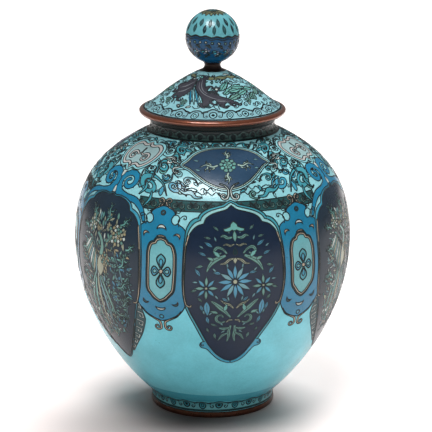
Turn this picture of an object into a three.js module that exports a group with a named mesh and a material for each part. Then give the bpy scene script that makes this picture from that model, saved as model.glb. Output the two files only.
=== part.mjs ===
// A small covered jar in wired enamel on copper: a round-shouldered hollow body on a low foot,
// a copper ring round the foot and another round the mouth, and a lid that lifts off by the ball
// on its crown. Every piece is turned, so each one is a profile swept once round the upright axis.
// Lengths are in millimetres. +Z is up, and z = 0 is the surface that the jar stands on.

import * as THREE from 'three';

// Foot
const FOOT_RADIUS = 23.1; // outside of the enamelled foot wall
const FOOT_WALL = 2.4;
const FOOT_HEIGHT = 5.3; // from the ground to where the body springs from the foot
const FOOT_RIM_HEIGHT = 2.4; // bare copper ring under the foot wall
const FOOT_RIM_PROUD = 0.2; // how far that ring stands out past the foot wall
const FOOT_RIM_ROUNDING = 0.7;
const FOOT_FILLET = 0.8; // hollow corner between foot and body

// Body
const BODY_WALL = 2;
const BASE_THICKNESS = 2.2;
const BASE_DROP = 1.7; // how far the base's underside lies below the springing of the body
const BELLY_RADIUS = 51.55;
const LOWER_BODY_HEIGHT = 59.9; // from the foot's top to the widest ring
const SHOULDER_HEIGHT = 41.3; // from the widest ring to the neck
const FOOT_FLARE = 44; // degrees above level at which the body leaves the foot
const FOOT_EASE = 0.02; // length of that start, as a share of the lower body's height
const BELLY_FULLNESS_BELOW = 0.59; // how long the belly stays upright, as shares of the heights
const BELLY_FULLNESS_ABOVE = 0.635;
const SHOULDER_SLOPE = 29; // degrees below level at which the shoulder leaves the neck
const SHOULDER_EASE = 0.527; // length of that start, as a share of the shoulder's width

// Neck and mouth
const NECK_RADIUS = 23.1;
const NECK_HEIGHT = 3;
const NECK_FILLET = 0.8; // hollow corner between shoulder and neck
const MOUTH_RIM_HEIGHT = 1.3; // bare copper ring that caps the neck
const MOUTH_RIM_PROUD = 1.5; // how far it stands out past the neck
const MOUTH_RIM_ROUNDING = 0.5;

// Lid rim, a copper bead with a flange that drops into the mouth
const LID_RIM_RADIUS = 27.2;
const LID_RIM_HEIGHT = 3.1;
const LID_RIM_UNDERCUT = 1.7; // how far the bead's lower edge turns in
const LID_RIM_WIDEST = 0.38; // height of its widest ring, as a share of the bead's height
const LID_SHELF = 1.2; // thickness of the rim where it crosses the mouth
const FLANGE_DEPTH = 4;
const FLANGE_WALL = 1.2;
const FLANGE_CLEARANCE = 0.5; // gap all round between the flange and the mouth

// Lid
const LID_RADIUS = 25.65; // outer edge of the enamelled dome, on the rim
const LID_WALL = 1.8;
const LID_RISE = 13.7; // from the rim's top to the flat crown that carries the stem
const LID_EDGE_SLOPE = 25; // degrees above level
const LID_EDGE_EASE = 0.235; // as a share of the dome's width
const LID_CROWN_SLOPE = 26;
const LID_CROWN_EASE = 0.656;

// Finial
const STEM_BASE_RADIUS = 5;
const STEM_WAIST_RADIUS = 2.98;
const STEM_TOP_RADIUS = 3.75;
const STEM_HEIGHT = 3.23;
const STEM_WAIST = 0.62; // height of the waist, as a share of the stem's height
const BALL_RADIUS = 9.95;

// Fineness of the facets
const STEPS_ROUND = 48;
const STEPS_ROUND_FINIAL = 32;
const BODY_STEPS = 9; // along each half of the body's outer curve
const BODY_INNER_STEPS = 6;
const LID_STEPS = 10;
const LID_INNER_STEPS = 6;
const BEAD_STEPS = 3;
const STEM_STEPS = 3;
const BALL_STEPS = 12;
const FILLET_STEPS = 2;

// Heights that the pieces share, each resting on the one below
const springing = FOOT_HEIGHT;
const belly = springing + LOWER_BODY_HEIGHT;
const shoulderTop = belly + SHOULDER_HEIGHT;
const neckTop = shoulderTop + NECK_HEIGHT;
const mouthTop = neckTop + MOUTH_RIM_HEIGHT;
const lidSeat = mouthTop + LID_RIM_HEIGHT;
const crown = lidSeat + LID_RISE;
const stemTop = crown + STEM_HEIGHT;

// Radii that the pieces share
const footInside = FOOT_RADIUS - FOOT_WALL;
const mouthInside = NECK_RADIUS - BODY_WALL;
const flangeOutside = mouthInside - FLANGE_CLEARANCE;
const flangeInside = flangeOutside - FLANGE_WALL;
const lidInside = LID_RADIUS - LID_WALL;

function at(radius, height) {
  return new THREE.Vector2(radius, height);
}

function towards(start, degrees, length) {
  const angle = THREE.MathUtils.degToRad(degrees);
  return at(start.x + length * Math.cos(angle), start.y + length * Math.sin(angle));
}

function cubic(start, startHandle, endHandle, end, steps) {
  return new THREE.CubicBezierCurve(start, startHandle, endHandle, end).getPoints(steps);
}

function corner(start, bend, end, steps) {
  return new THREE.QuadraticBezierCurve(start, bend, end).getPoints(steps);
}

// Moves a rising curve's points off its inner side by a wall's thickness
function inward(points, thickness) {
  return points.map((place, i) => {
    const before = points[Math.max(i - 1, 0)];
    const after = points[Math.min(i + 1, points.length - 1)];
    const along = after.clone().sub(before).normalize();
    return at(place.x - along.y * thickness, place.y + along.x * thickness);
  });
}

function enamel(color) {
  return new THREE.MeshStandardMaterial({ color, roughness: 0.18, metalness: 0 });
}

function copper(color) {
  return new THREE.MeshStandardMaterial({ color, roughness: 0.42, metalness: 1 });
}

// Sweeps a profile of (radius, height) points, listed anticlockwise, round the upright axis
function turned(name, profile, material, stepsRound = STEPS_ROUND) {
  const geometry = new THREE.LatheGeometry(profile, stepsRound);
  geometry.rotateX(Math.PI / 2);
  const mesh = new THREE.Mesh(geometry, material);
  mesh.name = name;
  return mesh;
}

// The body's outer curve, from the fillet over the foot to the fillet under the neck
function bodyCurve(steps) {
  const foot = towards(at(FOOT_RADIUS, springing), FOOT_FLARE, FOOT_FILLET);
  const neck = towards(at(NECK_RADIUS, shoulderTop), -SHOULDER_SLOPE, NECK_FILLET);
  const widest = at(BELLY_RADIUS, belly);
  const shoulderWidth = BELLY_RADIUS - NECK_RADIUS;
  const lower = cubic(
    foot,
    towards(foot, FOOT_FLARE, FOOT_EASE * LOWER_BODY_HEIGHT),
    at(BELLY_RADIUS, belly - BELLY_FULLNESS_BELOW * LOWER_BODY_HEIGHT),
    widest,
    steps,
  );
  const upper = cubic(
    widest,
    at(BELLY_RADIUS, belly + BELLY_FULLNESS_ABOVE * SHOULDER_HEIGHT),
    towards(neck, -SHOULDER_SLOPE, SHOULDER_EASE * shoulderWidth),
    neck,
    steps,
  );
  return [...lower, ...upper.slice(1)];
}

// The hollow vessel: foot wall, base, body and neck in one wall of even thickness
function jarBody() {
  const outer = bodyCurve(BODY_STEPS);
  const underside = springing - BASE_DROP;
  const floor = underside + BASE_THICKNESS;
  const inside = inward(bodyCurve(BODY_INNER_STEPS), BODY_WALL);
  const inner = inside.filter((place) => place.y > floor && place.x > mouthInside && place.y < shoulderTop);
  const cove = at(inner[0].x - (inner[0].y - floor), floor);
  const footCorner = corner(
    at(FOOT_RADIUS, springing - FOOT_FILLET),
    at(FOOT_RADIUS, springing),
    outer[0],
    FILLET_STEPS,
  );
  const neckCorner = corner(
    outer[outer.length - 1],
    at(NECK_RADIUS, shoulderTop),
    at(NECK_RADIUS, shoulderTop + NECK_FILLET),
    FILLET_STEPS,
  );
  const profile = [
    at(0, underside),
    at(footInside, underside),
    at(footInside, FOOT_RIM_HEIGHT),
    at(FOOT_RADIUS, FOOT_RIM_HEIGHT),
    ...footCorner,
    ...outer.slice(1, -1),
    ...neckCorner,
    at(NECK_RADIUS, neckTop),
    at(mouthInside, neckTop),
    at(mouthInside, shoulderTop - BODY_WALL / 2),
    ...inner.reverse(),
    cove,
    at(0, floor),
  ];
  return turned('jar_body', profile, enamel(0x58aab8));
}

// A flat-topped copper ring with rounded outer edges
function ring(name, inside, outside, bottom, top, rounding, color) {
  const lowerEdge = corner(
    at(outside - rounding, bottom),
    at(outside, bottom),
    at(outside, bottom + rounding),
    FILLET_STEPS,
  );
  const upperEdge = corner(
    at(outside, top - rounding),
    at(outside, top),
    at(outside - rounding, top),
    FILLET_STEPS,
  );
  const profile = [at(inside, bottom), ...lowerEdge, ...upperEdge, at(inside, top), at(inside, bottom)];
  return turned(name, profile, copper(color));
}

function footRim() {
  const outside = FOOT_RADIUS + FOOT_RIM_PROUD;
  return ring('foot_rim', footInside, outside, 0, FOOT_RIM_HEIGHT, FOOT_RIM_ROUNDING, 0x4a2f28);
}

function mouthRim() {
  const outside = NECK_RADIUS + MOUTH_RIM_PROUD;
  return ring('mouth_rim', mouthInside, outside, neckTop, mouthTop, MOUTH_RIM_ROUNDING, 0x5a3229);
}

// The bead that the lid's enamel stops against, resting on the mouth rim
function lidRim() {
  const widest = mouthTop + LID_RIM_WIDEST * LID_RIM_HEIGHT;
  const lowerEdge = corner(
    at(LID_RIM_RADIUS - LID_RIM_UNDERCUT, mouthTop),
    at(LID_RIM_RADIUS, mouthTop),
    at(LID_RIM_RADIUS, widest),
    BEAD_STEPS,
  );
  const upperEdge = corner(
    at(LID_RIM_RADIUS, widest),
    at(LID_RIM_RADIUS, lidSeat),
    at(LID_RADIUS, lidSeat),
    BEAD_STEPS,
  );
  const profile = [
    at(flangeInside, mouthTop - FLANGE_DEPTH),
    at(flangeOutside, mouthTop - FLANGE_DEPTH),
    at(flangeOutside, mouthTop),
    ...lowerEdge,
    ...upperEdge.slice(1),
    at(lidInside, lidSeat),
    at(lidInside, mouthTop + LID_SHELF),
    at(flangeInside, mouthTop + LID_SHELF),
    at(flangeInside, mouthTop - FLANGE_DEPTH),
  ];
  return turned('lid_rim', profile, copper(0x6e4334));
}

// The dome's outer curve, from the rim up to the foot of the stem
function lidCurve(steps) {
  const edge = at(LID_RADIUS, lidSeat);
  const top = at(STEM_BASE_RADIUS, crown);
  const width = LID_RADIUS - STEM_BASE_RADIUS;
  const edgeHandle = towards(edge, 180 - LID_EDGE_SLOPE, LID_EDGE_EASE * width);
  const crownHandle = towards(top, -LID_CROWN_SLOPE, LID_CROWN_EASE * width);
  return cubic(edge, edgeHandle, crownHandle, top, steps);
}

// The hollow enamelled dome, open below, with a flat crown for the stem
function lid() {
  const outer = lidCurve(LID_STEPS);
  const under = crown - LID_WALL;
  const inside = inward(lidCurve(LID_INNER_STEPS), LID_WALL);
  const inner = inside.filter((place) => place.y > lidSeat && place.y < under);
  const profile = [at(lidInside, lidSeat), ...outer, at(0, crown), at(0, under), ...inner.reverse()];
  return turned('lid', [...profile, profile[0]], enamel(0x6fb4c4));
}

// The dark waisted stem between the lid's crown and the ball
function finialStem() {
  const waist = crown + STEM_WAIST * STEM_HEIGHT;
  const lower = corner(
    at(STEM_BASE_RADIUS, crown),
    at(STEM_WAIST_RADIUS, crown + (waist - crown) / 4),
    at(STEM_WAIST_RADIUS, waist),
    STEM_STEPS,
  );
  const upper = corner(
    at(STEM_WAIST_RADIUS, waist),
    at(STEM_WAIST_RADIUS, (waist + stemTop) / 2),
    at(STEM_TOP_RADIUS, stemTop),
    STEM_STEPS,
  );
  const profile = [at(0, crown), ...lower, ...upper.slice(1), at(0, stemTop)];
  return turned('finial_stem', profile, copper(0x2c201c), STEPS_ROUND_FINIAL);
}

// The enamelled ball, with a small flat where it stands on the stem
function finialBall() {
  const flat = Math.asin(STEM_TOP_RADIUS / BALL_RADIUS);
  const centre = stemTop + BALL_RADIUS * Math.cos(flat);
  const profile = [at(0, stemTop)];
  for (let i = 0; i < BALL_STEPS; i += 1) {
    const turn = flat + ((Math.PI - flat) * i) / BALL_STEPS;
    profile.push(at(BALL_RADIUS * Math.sin(turn), i ? centre - BALL_RADIUS * Math.cos(turn) : stemTop));
  }
  profile.push(at(0, centre + BALL_RADIUS));
  return turned('finial_ball', profile, enamel(0x2f6f9a), STEPS_ROUND_FINIAL);
}

const jar = new THREE.Group();
jar.add(jarBody());
jar.add(footRim());
jar.add(mouthRim());
jar.add(lid());
jar.add(lidRim());
jar.add(finialStem());
jar.add(finialBall());

export default jar;
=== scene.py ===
"""A small covered jar in wired enamel on copper, dressed over its turned solids."""

import math
import random

import bmesh
import bpy
import numpy as np
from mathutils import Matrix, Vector
from mathutils.geometry import delaunay_2d_cdt


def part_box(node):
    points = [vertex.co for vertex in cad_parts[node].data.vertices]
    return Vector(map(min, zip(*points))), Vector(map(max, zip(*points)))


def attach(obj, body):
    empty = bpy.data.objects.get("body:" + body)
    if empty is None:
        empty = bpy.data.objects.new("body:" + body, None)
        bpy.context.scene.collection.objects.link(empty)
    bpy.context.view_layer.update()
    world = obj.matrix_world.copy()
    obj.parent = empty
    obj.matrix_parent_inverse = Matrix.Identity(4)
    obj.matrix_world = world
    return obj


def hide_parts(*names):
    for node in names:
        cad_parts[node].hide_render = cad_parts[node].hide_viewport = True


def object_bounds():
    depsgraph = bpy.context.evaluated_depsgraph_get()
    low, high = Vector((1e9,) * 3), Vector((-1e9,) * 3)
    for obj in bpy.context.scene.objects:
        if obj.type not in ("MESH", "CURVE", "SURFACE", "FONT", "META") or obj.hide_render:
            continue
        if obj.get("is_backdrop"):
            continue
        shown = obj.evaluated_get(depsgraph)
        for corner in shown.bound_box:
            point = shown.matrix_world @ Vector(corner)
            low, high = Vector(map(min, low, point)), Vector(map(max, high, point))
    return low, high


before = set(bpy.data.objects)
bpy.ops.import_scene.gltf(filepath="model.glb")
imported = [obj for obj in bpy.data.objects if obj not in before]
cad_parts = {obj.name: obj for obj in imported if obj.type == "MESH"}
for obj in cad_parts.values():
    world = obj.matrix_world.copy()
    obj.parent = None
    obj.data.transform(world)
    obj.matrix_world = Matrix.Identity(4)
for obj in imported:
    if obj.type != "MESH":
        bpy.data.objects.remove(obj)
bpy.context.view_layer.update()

bl_info = {
    "name": "Enamelled covered jar",
    "version": (1, 0, 0),
    "blender": (4, 5, 0),
    "location": "3D View > Sidebar > Enamelled jar",
    "description": "Makes the wired enamel, the copper rims and the studio of a small covered jar",
    "category": "Add Mesh",
}

MM = 0.001

# The decoration repeats three times round the jar: a flower panel, a strap, a foliage panel, a strap
REPEATS = 3
SECTOR = math.tau / REPEATS
FLOWER_AXIS = math.radians(8.75)  # azimuth of the front flower panel, 0 being the front
HALF_REPEAT = SECTOR / 2
STRAP_OFFSET = SECTOR / 4
SECTOR_START = FLOWER_AXIS - STRAP_OFFSET
COLUMNS = 120  # steps of the ground round the axis

# Side lengths, from the lowest edge up the wall, that the motifs were drawn at
DRAWN_BODY = 127.3
DRAWN_LID = 24.8
DRAWN_BALL = 27.4

WIRE_STEP = 0.45  # spacing at which wires are followed, in mm
WIRE_DEPTH = 0.12  # how deep the wires reach into the enamel, in mm
HAND_WANDER = 0.35  # how far the design strays from its drawing, in mm
COVERED = 0.14  # a wire is hidden where a later cell reaches this much further, in mm
LEAN = 0.7  # how far the shading of a wire's top leans outwards at its two edges
DARK_ENAMEL = 0.12  # enamels whose brightest channel stays below this get a softer gloss
CREASE = math.radians(40)  # edges sharper than this stay sharp
CORNER = math.radians(50)  # turns of a section sharper than this stay corners
SURFACE_GAP = 0.02  # how near the outer surface a corner has to lie to be shaded as part of it, in mm
FACING = 0.85  # how nearly its face has to look the surface's way, as a cosine
BEAD_DEPTH = 2.0  # outermost part of the lid rim, which is its round bead, in mm

FLOOR_REACH = 6.0  # half the floor's side, in metres
FOCAL_PIXELS = 2069.0
PICTURE_WIDTH = 432.0
AXIS_COLUMN = 212.5  # column of the photograph that the jar's axis stands in


def srgb(red, green, blue):
    """A colour given in display values from 0 to 255, as the linear values that shaders use."""
    def linear(value):
        value /= 255
        return value / 12.92 if value <= 0.04045 else ((value + 0.055) / 1.055) ** 2.4
    return tuple(linear(value) for value in (red, green, blue))


# Flat shapes in millimetres, x to the right and y up

def pairs(x, y):
    """Points from x and y, either of which may be one number for all."""
    return np.column_stack(np.broadcast_arrays(x, y))


def ringed(path, closed):
    """A path as an array, with its first point again at its end if it is closed."""
    path = np.asarray(path, float)
    return np.vstack([path, path[:1]]) if closed else path


def rates(path, closed):
    """How a path changes at each of its points."""
    return np.roll(path, -1, axis=0) - np.roll(path, 1, axis=0) if closed else np.gradient(path, axis=0)


def leftward(along):
    """Unit vectors to the left of flat ones."""
    along = along / np.maximum(np.hypot(*along.T)[:, None], 1e-9)
    return pairs(-along[:, 1], along[:, 0])


def smooth(points, steps=4, closed=False):
    """A smooth line through given points, even where they are unevenly spaced."""
    p = ringed(points, closed)
    gaps = np.hypot(*np.diff(p, axis=0).T)[:, None]
    slopes = np.diff(p, axis=0) / gaps
    before, before_slopes = np.roll(gaps, 1, axis=0), np.roll(slopes, 1, axis=0)
    inner = (gaps * before_slopes + before * slopes) / (gaps + before)
    tangents = np.vstack([inner, inner[:1]] if closed else [slopes[:1], inner[1:], slopes[-1:]])
    t = (np.arange(steps) / steps)[:, None]
    parts = [
        (2 * t**3 - 3 * t**2 + 1) * p[i] + (t**3 - 2 * t**2 + t) * gap * tangents[i]
        + (3 * t**2 - 2 * t**3) * p[i + 1] + (t**3 - t**2) * gap * tangents[i + 1]
        for i, gap in enumerate(gaps)
    ]
    return np.vstack(parts if closed else [*parts, p[-1:]])


def circle(radius, x=0.0, y=0.0, steps=14):
    turn = np.arange(steps) / steps * math.tau
    return pairs(x + radius * np.cos(turn), y + radius * np.sin(turn))


def blade(half, spine, up):
    """A closed outline from its half width and its spine at each height."""
    return np.vstack([pairs(spine - half, up), pairs(spine + half, up)[-2:0:-1]])


def leaf(length, width, bend=0.0, steps=6, start=0.0):
    """A pointed leaf that grows up from the origin, leaning sideways by bend."""
    t = np.arange(steps + 1) / steps
    return blade(width / 2 * np.sin(np.pi * t**0.85), bend * t**2, start + length * t)


def petal(length, width, start=0.0, steps=7):
    """A petal with a round end, growing up from the origin."""
    t = np.arange(steps + 1) / steps
    return blade(width / 2 * np.sin(np.pi * t**1.5) ** 0.8, 0.0, start + length * t)


def frond(length, width, lobes=4, bend=0.0):
    """A leaf with a scalloped edge that grows up from the origin."""
    t = np.arange(4 * lobes + 1) / (4 * lobes)
    lobed = 0.66 + 0.34 * np.abs(np.sin(np.pi * lobes * t))
    return blade(width / 2 * np.sin(np.pi * t**0.8) * lobed, bend * t**2, length * t)


def spiral(radius, turns=1.4, core=0.16, start=0.0):
    """A line that winds in from the radius, clockwise, starting at an angle in degrees."""
    count = max(int(turns * 12), 4)
    t = np.arange(count + 1) / count
    angle = math.radians(start) - t * turns * math.tau
    reach = radius * (1 - (1 - core) * t**0.85)
    return pairs(reach * np.cos(angle), reach * np.sin(angle))


def led(points, coil, steps=4):
    """A smooth line through points that runs on into a coil."""
    return np.vstack([smooth(points, steps)[:-1], coil])


def stroke(path, start, middle, end):
    """The outline of a brush stroke along a path, with its widths at both ends and the middle."""
    path = np.asarray(path, float)
    t = np.linspace(0, 1, len(path))
    side = leftward(rates(path, False)) * (np.interp(t, [0, 0.5, 1], [start, middle, end])[:, None] / 2)
    return np.vstack([path + side, (path - side)[::-1]])


def brush(points, start, middle, end, steps=4):
    """A brush stroke through given points."""
    return stroke(smooth(points, steps), start, middle, end)


def crescent(width, height, thick):
    """A crescent that opens downwards."""
    turn = np.linspace(0, np.pi, 9)
    outer, inner = (pairs(width / 2 * np.cos(turn), rise * np.sin(turn)) for rise in (height, height - thick))
    return np.vstack([outer, inner[-2:0:-1]])


def mirrored(half):
    """A closed outline from its right half, given from the top down."""
    half = np.asarray(half, float)
    return np.vstack([half, (half * (-1, 1))[-2:0:-1]])


def grown(outline, amount):
    """A clockwise closed outline moved outwards by an amount, or by an amount at each point."""
    return outline + leftward(rates(outline, True)) * np.reshape(amount, (-1, 1))


def resampled(path, step, closed=False):
    """A path with its points evenly spaced."""
    path = ringed(path, closed)
    run = np.concatenate([[0], np.cumsum(np.hypot(*np.diff(path, axis=0).T))])
    count = max(int(round(run[-1] / step)), 3 if closed else 1)
    marks = np.linspace(0, run[-1], count + 1)[:-1 if closed else None]
    return pairs(np.interp(marks, run, path[:, 0]), np.interp(marks, run, path[:, 1]))


def simplified(path, tolerance, longest, closed):
    """Drops the points that lie within a tolerance of the line through the points that are kept."""
    path = ringed(path, closed)
    kept = np.zeros(len(path), bool)
    kept[[0, -1]] = True
    spans = [(0, len(path) - 1)]
    while spans:
        first, last = spans.pop()
        if last - first < 2:
            continue
        chord = path[last] - path[first]
        length = math.hypot(*chord)
        between = path[first + 1:last] - path[first]
        if length < 1e-6:
            away = np.hypot(*between.T)
        else:
            away = np.abs(chord[0] * between[:, 1] - chord[1] * between[:, 0]) / length
        worst = int(np.argmax(away))
        if away[worst] <= tolerance and length <= longest:
            continue
        middle = first + 1 + worst if away[worst] > tolerance else (first + last) // 2
        kept[middle] = True
        spans += [(first, middle), (middle, last)]
    kept[-1] = not closed
    return path[kept]


def inside(outline, places):
    """Which places lie inside a closed outline."""
    x, y = places[:, :1], places[:, 1:]
    x0, y0 = outline.T
    x1, y1 = np.roll(outline, -1, axis=0).T
    rise = np.where(y1 == y0, 1e-12, y1 - y0)
    crossed = ((y0 > y) != (y1 > y)) & (x < (x1 - x0) * (y - y0) / rise + x0)
    return crossed.sum(1) % 2 == 1


# Turned surfaces, read from the section of the solids

def section(node):
    """(radius, height) in mm round the section of a turned solid, from its lowest inner corner."""
    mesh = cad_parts[node].data
    places, joined = {}, {}
    for vertex in mesh.vertices:
        x, y, z = vertex.co / MM
        if abs(y) < 1e-3 and x > -1e-3:
            places[vertex.index] = (abs(round(x, 3)), round(z, 3))
    for edge in mesh.edges:
        a, b = (places.get(i) for i in edge.vertices)
        if a and b and a != b:
            joined.setdefault(a, set()).add(b)
            joined.setdefault(b, set()).add(a)
    ends = [place for place in joined if len(joined[place]) == 1]
    path = [min(ends or joined, key=lambda place: (place[1], place[0]))]
    while ways := [place for place in joined[path[-1]] if place not in path]:
        path.append(max(ways))
    return ringed(path, not ends)


def outer_run(points):
    """First and last index of a section's outer side, from its lowest to its highest outer corner."""
    radius, height = points.T
    low = max(np.flatnonzero(height < height.min() + 1e-3), key=lambda i: radius[i])
    high = max(np.flatnonzero(height > height.max() - 1e-3), key=lambda i: radius[i])
    return int(low), int(high)


def around(out, azimuth, up):
    """Vectors at azimuths from the front, from their parts away from the axis and along it."""
    return np.column_stack([out * np.sin(azimuth), -out * np.cos(azimuth), up])


class Turned:
    """A smooth outer surface, placed by azimuth from the front and by length up its side in mm."""

    def __init__(self, points, stop_radius):
        if points[-1][0] < 1e-6:
            points = np.vstack([points, points[-2] * (-1, 1)])
        dense = smooth(points, 24)
        past = np.flatnonzero(dense[:, 0] < stop_radius)
        if len(past):
            dense = dense[:past[0]]
        self.r, self.z = dense.T
        self.s = np.concatenate([[0], np.cumsum(np.hypot(np.diff(self.r), np.diff(self.z)))])
        self.length = self.s[-1]
        self.scale = float(np.median(self.r))
        self.out = np.gradient(self.z, self.s)
        self.up = -np.gradient(self.r, self.s)

    def radius(self, s):
        return np.interp(s, self.s, self.r)

    def place(self, azimuth, s):
        """Points on the surface in metres."""
        return around(self.radius(s), azimuth, np.interp(s, self.s, self.z)) * MM

    def normals(self, places):
        """Unit normals at points that lie on the surface."""
        height = places[:, 2] / MM
        azimuth = np.arctan2(places[:, 0], -places[:, 1])
        out, up = np.interp(height, self.z, self.out), np.interp(height, self.z, self.up)
        normal = around(out, azimuth, up)
        return normal / np.linalg.norm(normal, axis=1)[:, None]

    def wander(self, azimuth, s):
        """Moves places by a small smooth amount, so that hand work shows and no two repeats are alike."""
        edge = np.clip(np.minimum(s, self.length - s) / (0.06 * self.length), 0, 1)
        aside = np.sin(2 * azimuth + 0.11 * s) + 0.6 * np.sin(5 * azimuth - 0.23 * s + 1.3)
        upward = np.sin(azimuth + 0.17 * s + 0.7) + 0.6 * np.sin(4 * azimuth + 0.29 * s)
        moved = azimuth + edge * HAND_WANDER * aside / np.maximum(self.radius(s), 1.0)
        return moved, s + edge * HAND_WANDER * upward


class Design:
    """Cells of enamel and the wires round them, drawn on a turned surface in painting order."""

    def __init__(self, surface, drawn, ground, part, repeats=REPEATS, start=SECTOR_START, cap=None):
        self.surface = surface
        self.unit = surface.length / drawn
        self.ground = ground
        self.cap = cap or ground
        self.part = part
        self.repeats = repeats
        self.start = start
        self.span = math.tau / repeats
        self.cells = []
        self.wires = []

    def spot(self, azimuth, height=0.0):
        return Spot(self, azimuth, np.eye(2) * self.unit, np.array([0.0, height * self.unit]))

    def across(self, azimuth, height):
        """How far round the jar an azimuth lies at a height, in drawn millimetres."""
        return azimuth * float(self.surface.radius(height * self.unit)) / self.unit

    def zone(self, low, high, colour, width=1.0, start=None, end=None):
        """A level band between two heights, over the sector or between two azimuths."""
        start = self.start if start is None else start
        turn = np.linspace(start, start + self.span if end is None else end, 40)
        lower, upper = pairs(turn, low * self.unit), pairs(turn[::-1], high * self.unit)
        self.cells.append((np.vstack([lower, upper]), colour))
        if width:
            self.wire(lower, False, width)
            self.wire(upper, False, width)

    def wire(self, path, closed, width):
        """Adds a wire that only later cells can cover."""
        self.wires.append((path, closed, width, len(self.cells), self.part))


class Spot:
    """A place on a design, with flat millimetres of its own: x round the jar, y up its side."""

    def __init__(self, design, azimuth, matrix, offset):
        self.design = design
        self.azimuth = azimuth
        self.matrix = matrix
        self.offset = offset

    def at(self, x=0.0, y=0.0, turn=0.0, flip=False):
        """A new spot inside this one, turned anticlockwise by degrees and perhaps flipped."""
        c, s = math.cos(math.radians(turn)), math.sin(math.radians(turn))
        local = np.array([[c, -s], [s, c]]) @ np.diag([-1.0 if flip else 1.0, 1.0])
        return Spot(self.design, self.azimuth, self.matrix @ local, self.offset + self.matrix @ (x, y))

    def halves(self):
        """This spot and its mirror image."""
        return self.at(), self.at(flip=True)

    def chart(self, points):
        flat = np.asarray(points, float) @ self.matrix.T + self.offset
        surface = self.design.surface
        height = np.clip(flat[:, 1], 0.25, surface.length - 0.25)
        return pairs(self.azimuth + flat[:, 0] / surface.radius(height), height)

    def cell(self, outline, colour, width=1.0):
        """Enamel inside a closed outline, with a wire round it unless its width is 0."""
        outline = self.chart(simplified(outline, 0.03, 4.0, True))
        self.design.cells.append((outline, colour))
        if width:
            self.design.wire(outline, True, width)

    def line(self, path, width=1.0, closed=False):
        """A wire alone."""
        self.design.wire(self.chart(path), closed, width)


# Meshes

def cut_cells(design, rows):
    """Cuts one sector of the surface into triangles along its cells, each with its cell's colour."""
    surface, start, span = design.surface, design.start, design.span
    across = np.linspace(start, start + span, COLUMNS // design.repeats + 1)
    up = np.linspace(0, surface.length, rows + 1)
    points, edges = [], []

    def add(path, closed=False):
        first = len(points)
        points.extend((x * surface.scale, y) for x, y in path)
        edges.extend((first + i, first + i + 1) for i in range(len(path) - 1))
        if closed:
            edges.append((len(points) - 1, first))

    add(pairs(across, up[0]))
    add(pairs(across, up[-1]))
    add(pairs(across[0], up))
    add(pairs(across[-1], up))
    for height in up[1:-1]:
        points.extend((x * surface.scale, height) for x in across[1:-1])
    cells = []
    for outline, colour in design.cells:
        low, high = outline[:, 0].min(), outline[:, 0].max()
        for shift in (-span, 0, span):
            if high + shift > start and low + shift < start + span:
                cells.append((outline + (shift, 0), colour))
                add(cells[-1][0], True)
    cut = delaunay_2d_cdt([Vector(p) for p in points], edges, [], 0, 1e-5, False)
    flat = np.array([(v.x / surface.scale, v.y) for v in cut[0]])
    faces = np.array([f for f in cut[2] if len(f) == 3])
    sides = flat[faces]
    middles = sides.mean(1)
    area = np.cross(sides[:, 1] - sides[:, 0], sides[:, 2] - sides[:, 0])
    kept = ((middles > (start, 0)) & (middles < (start + span, surface.length))).all(1)
    kept &= np.abs(area) > 1e-9
    faces, middles, area = faces[kept], middles[kept], area[kept]
    faces[area < 0] = faces[area < 0][:, ::-1]
    colours = np.full(len(faces), design.ground, dtype=object)
    for outline, colour in cells:
        near = np.flatnonzero(((middles >= outline.min(0)) & (middles <= outline.max(0))).all(1))
        if len(near):
            colours[near[inside(outline, middles[near])]] = colour
    used, faces = np.unique(faces, return_inverse=True)
    return flat[used], faces.reshape(-1, 3), colours


def smooth_sections(points, steps):
    """A section's line made smooth between its sharp corners."""
    along = np.diff(points, axis=0)
    heading = np.unwrap(np.arctan2(along[:, 1], along[:, 0]))
    corners = [0, *(np.flatnonzero(np.abs(np.diff(heading)) > CORNER) + 1), len(points) - 1]
    line = [points[:1]]
    for first, last in zip(corners, corners[1:]):
        run = points[first:last + 1]
        line.append(smooth(run, steps)[1:] if len(run) > 2 else run[1:])
    return np.vstack(line)


def sweep(points, azimuths):
    """Vertices in metres and faces of a section swept round the axis, open at its two ends."""
    count = len(azimuths)
    vertices, rings = [], []
    for r, z in points:
        if r < 1e-6:
            rings.append([len(vertices)])
            vertices.append((0, 0, z * MM))
            continue
        rings.append(list(range(len(vertices), len(vertices) + count)))
        vertices.extend((r * math.sin(a) * MM, -r * math.cos(a) * MM, z * MM) for a in azimuths)
    faces = []
    for lower, upper in zip(rings, rings[1:]):
        for i in range(count):
            j = (i + 1) % count
            if len(lower) == 1:
                faces.append((lower[0], upper[j], upper[i]))
            elif len(upper) == 1:
                faces.append((lower[i], lower[j], upper[0]))
            else:
                faces.append((lower[i], lower[j], upper[j], upper[i]))
    return vertices, faces


def add_piece(name, mesh, node=None):
    """Links a mesh as a piece of the jar, which rides on the jar's one body."""
    piece = bpy.data.objects.new(name, mesh)
    bpy.context.scene.collection.objects.link(piece)
    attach(piece, "root")
    if node:
        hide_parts(node)


def turned_piece(name, node, material, columns=180, points=None):
    """A turned piece that follows its solid's section, or the points given, made smooth."""
    points = smooth_sections(section(node) if points is None else points, 5)
    vertices, faces = sweep(points, np.arange(columns) / columns * math.tau)
    mesh = bpy.data.meshes.new(name)
    mesh.from_pydata(vertices, [], faces)
    weld(mesh)
    mesh.materials.append(material)
    round_off(mesh)
    add_piece(name, mesh, node)


def round_off(mesh):
    """Shades a mesh smooth but for its sharp edges."""
    mesh.shade_smooth()
    mesh.set_sharp_from_angle(angle=CREASE)


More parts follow.
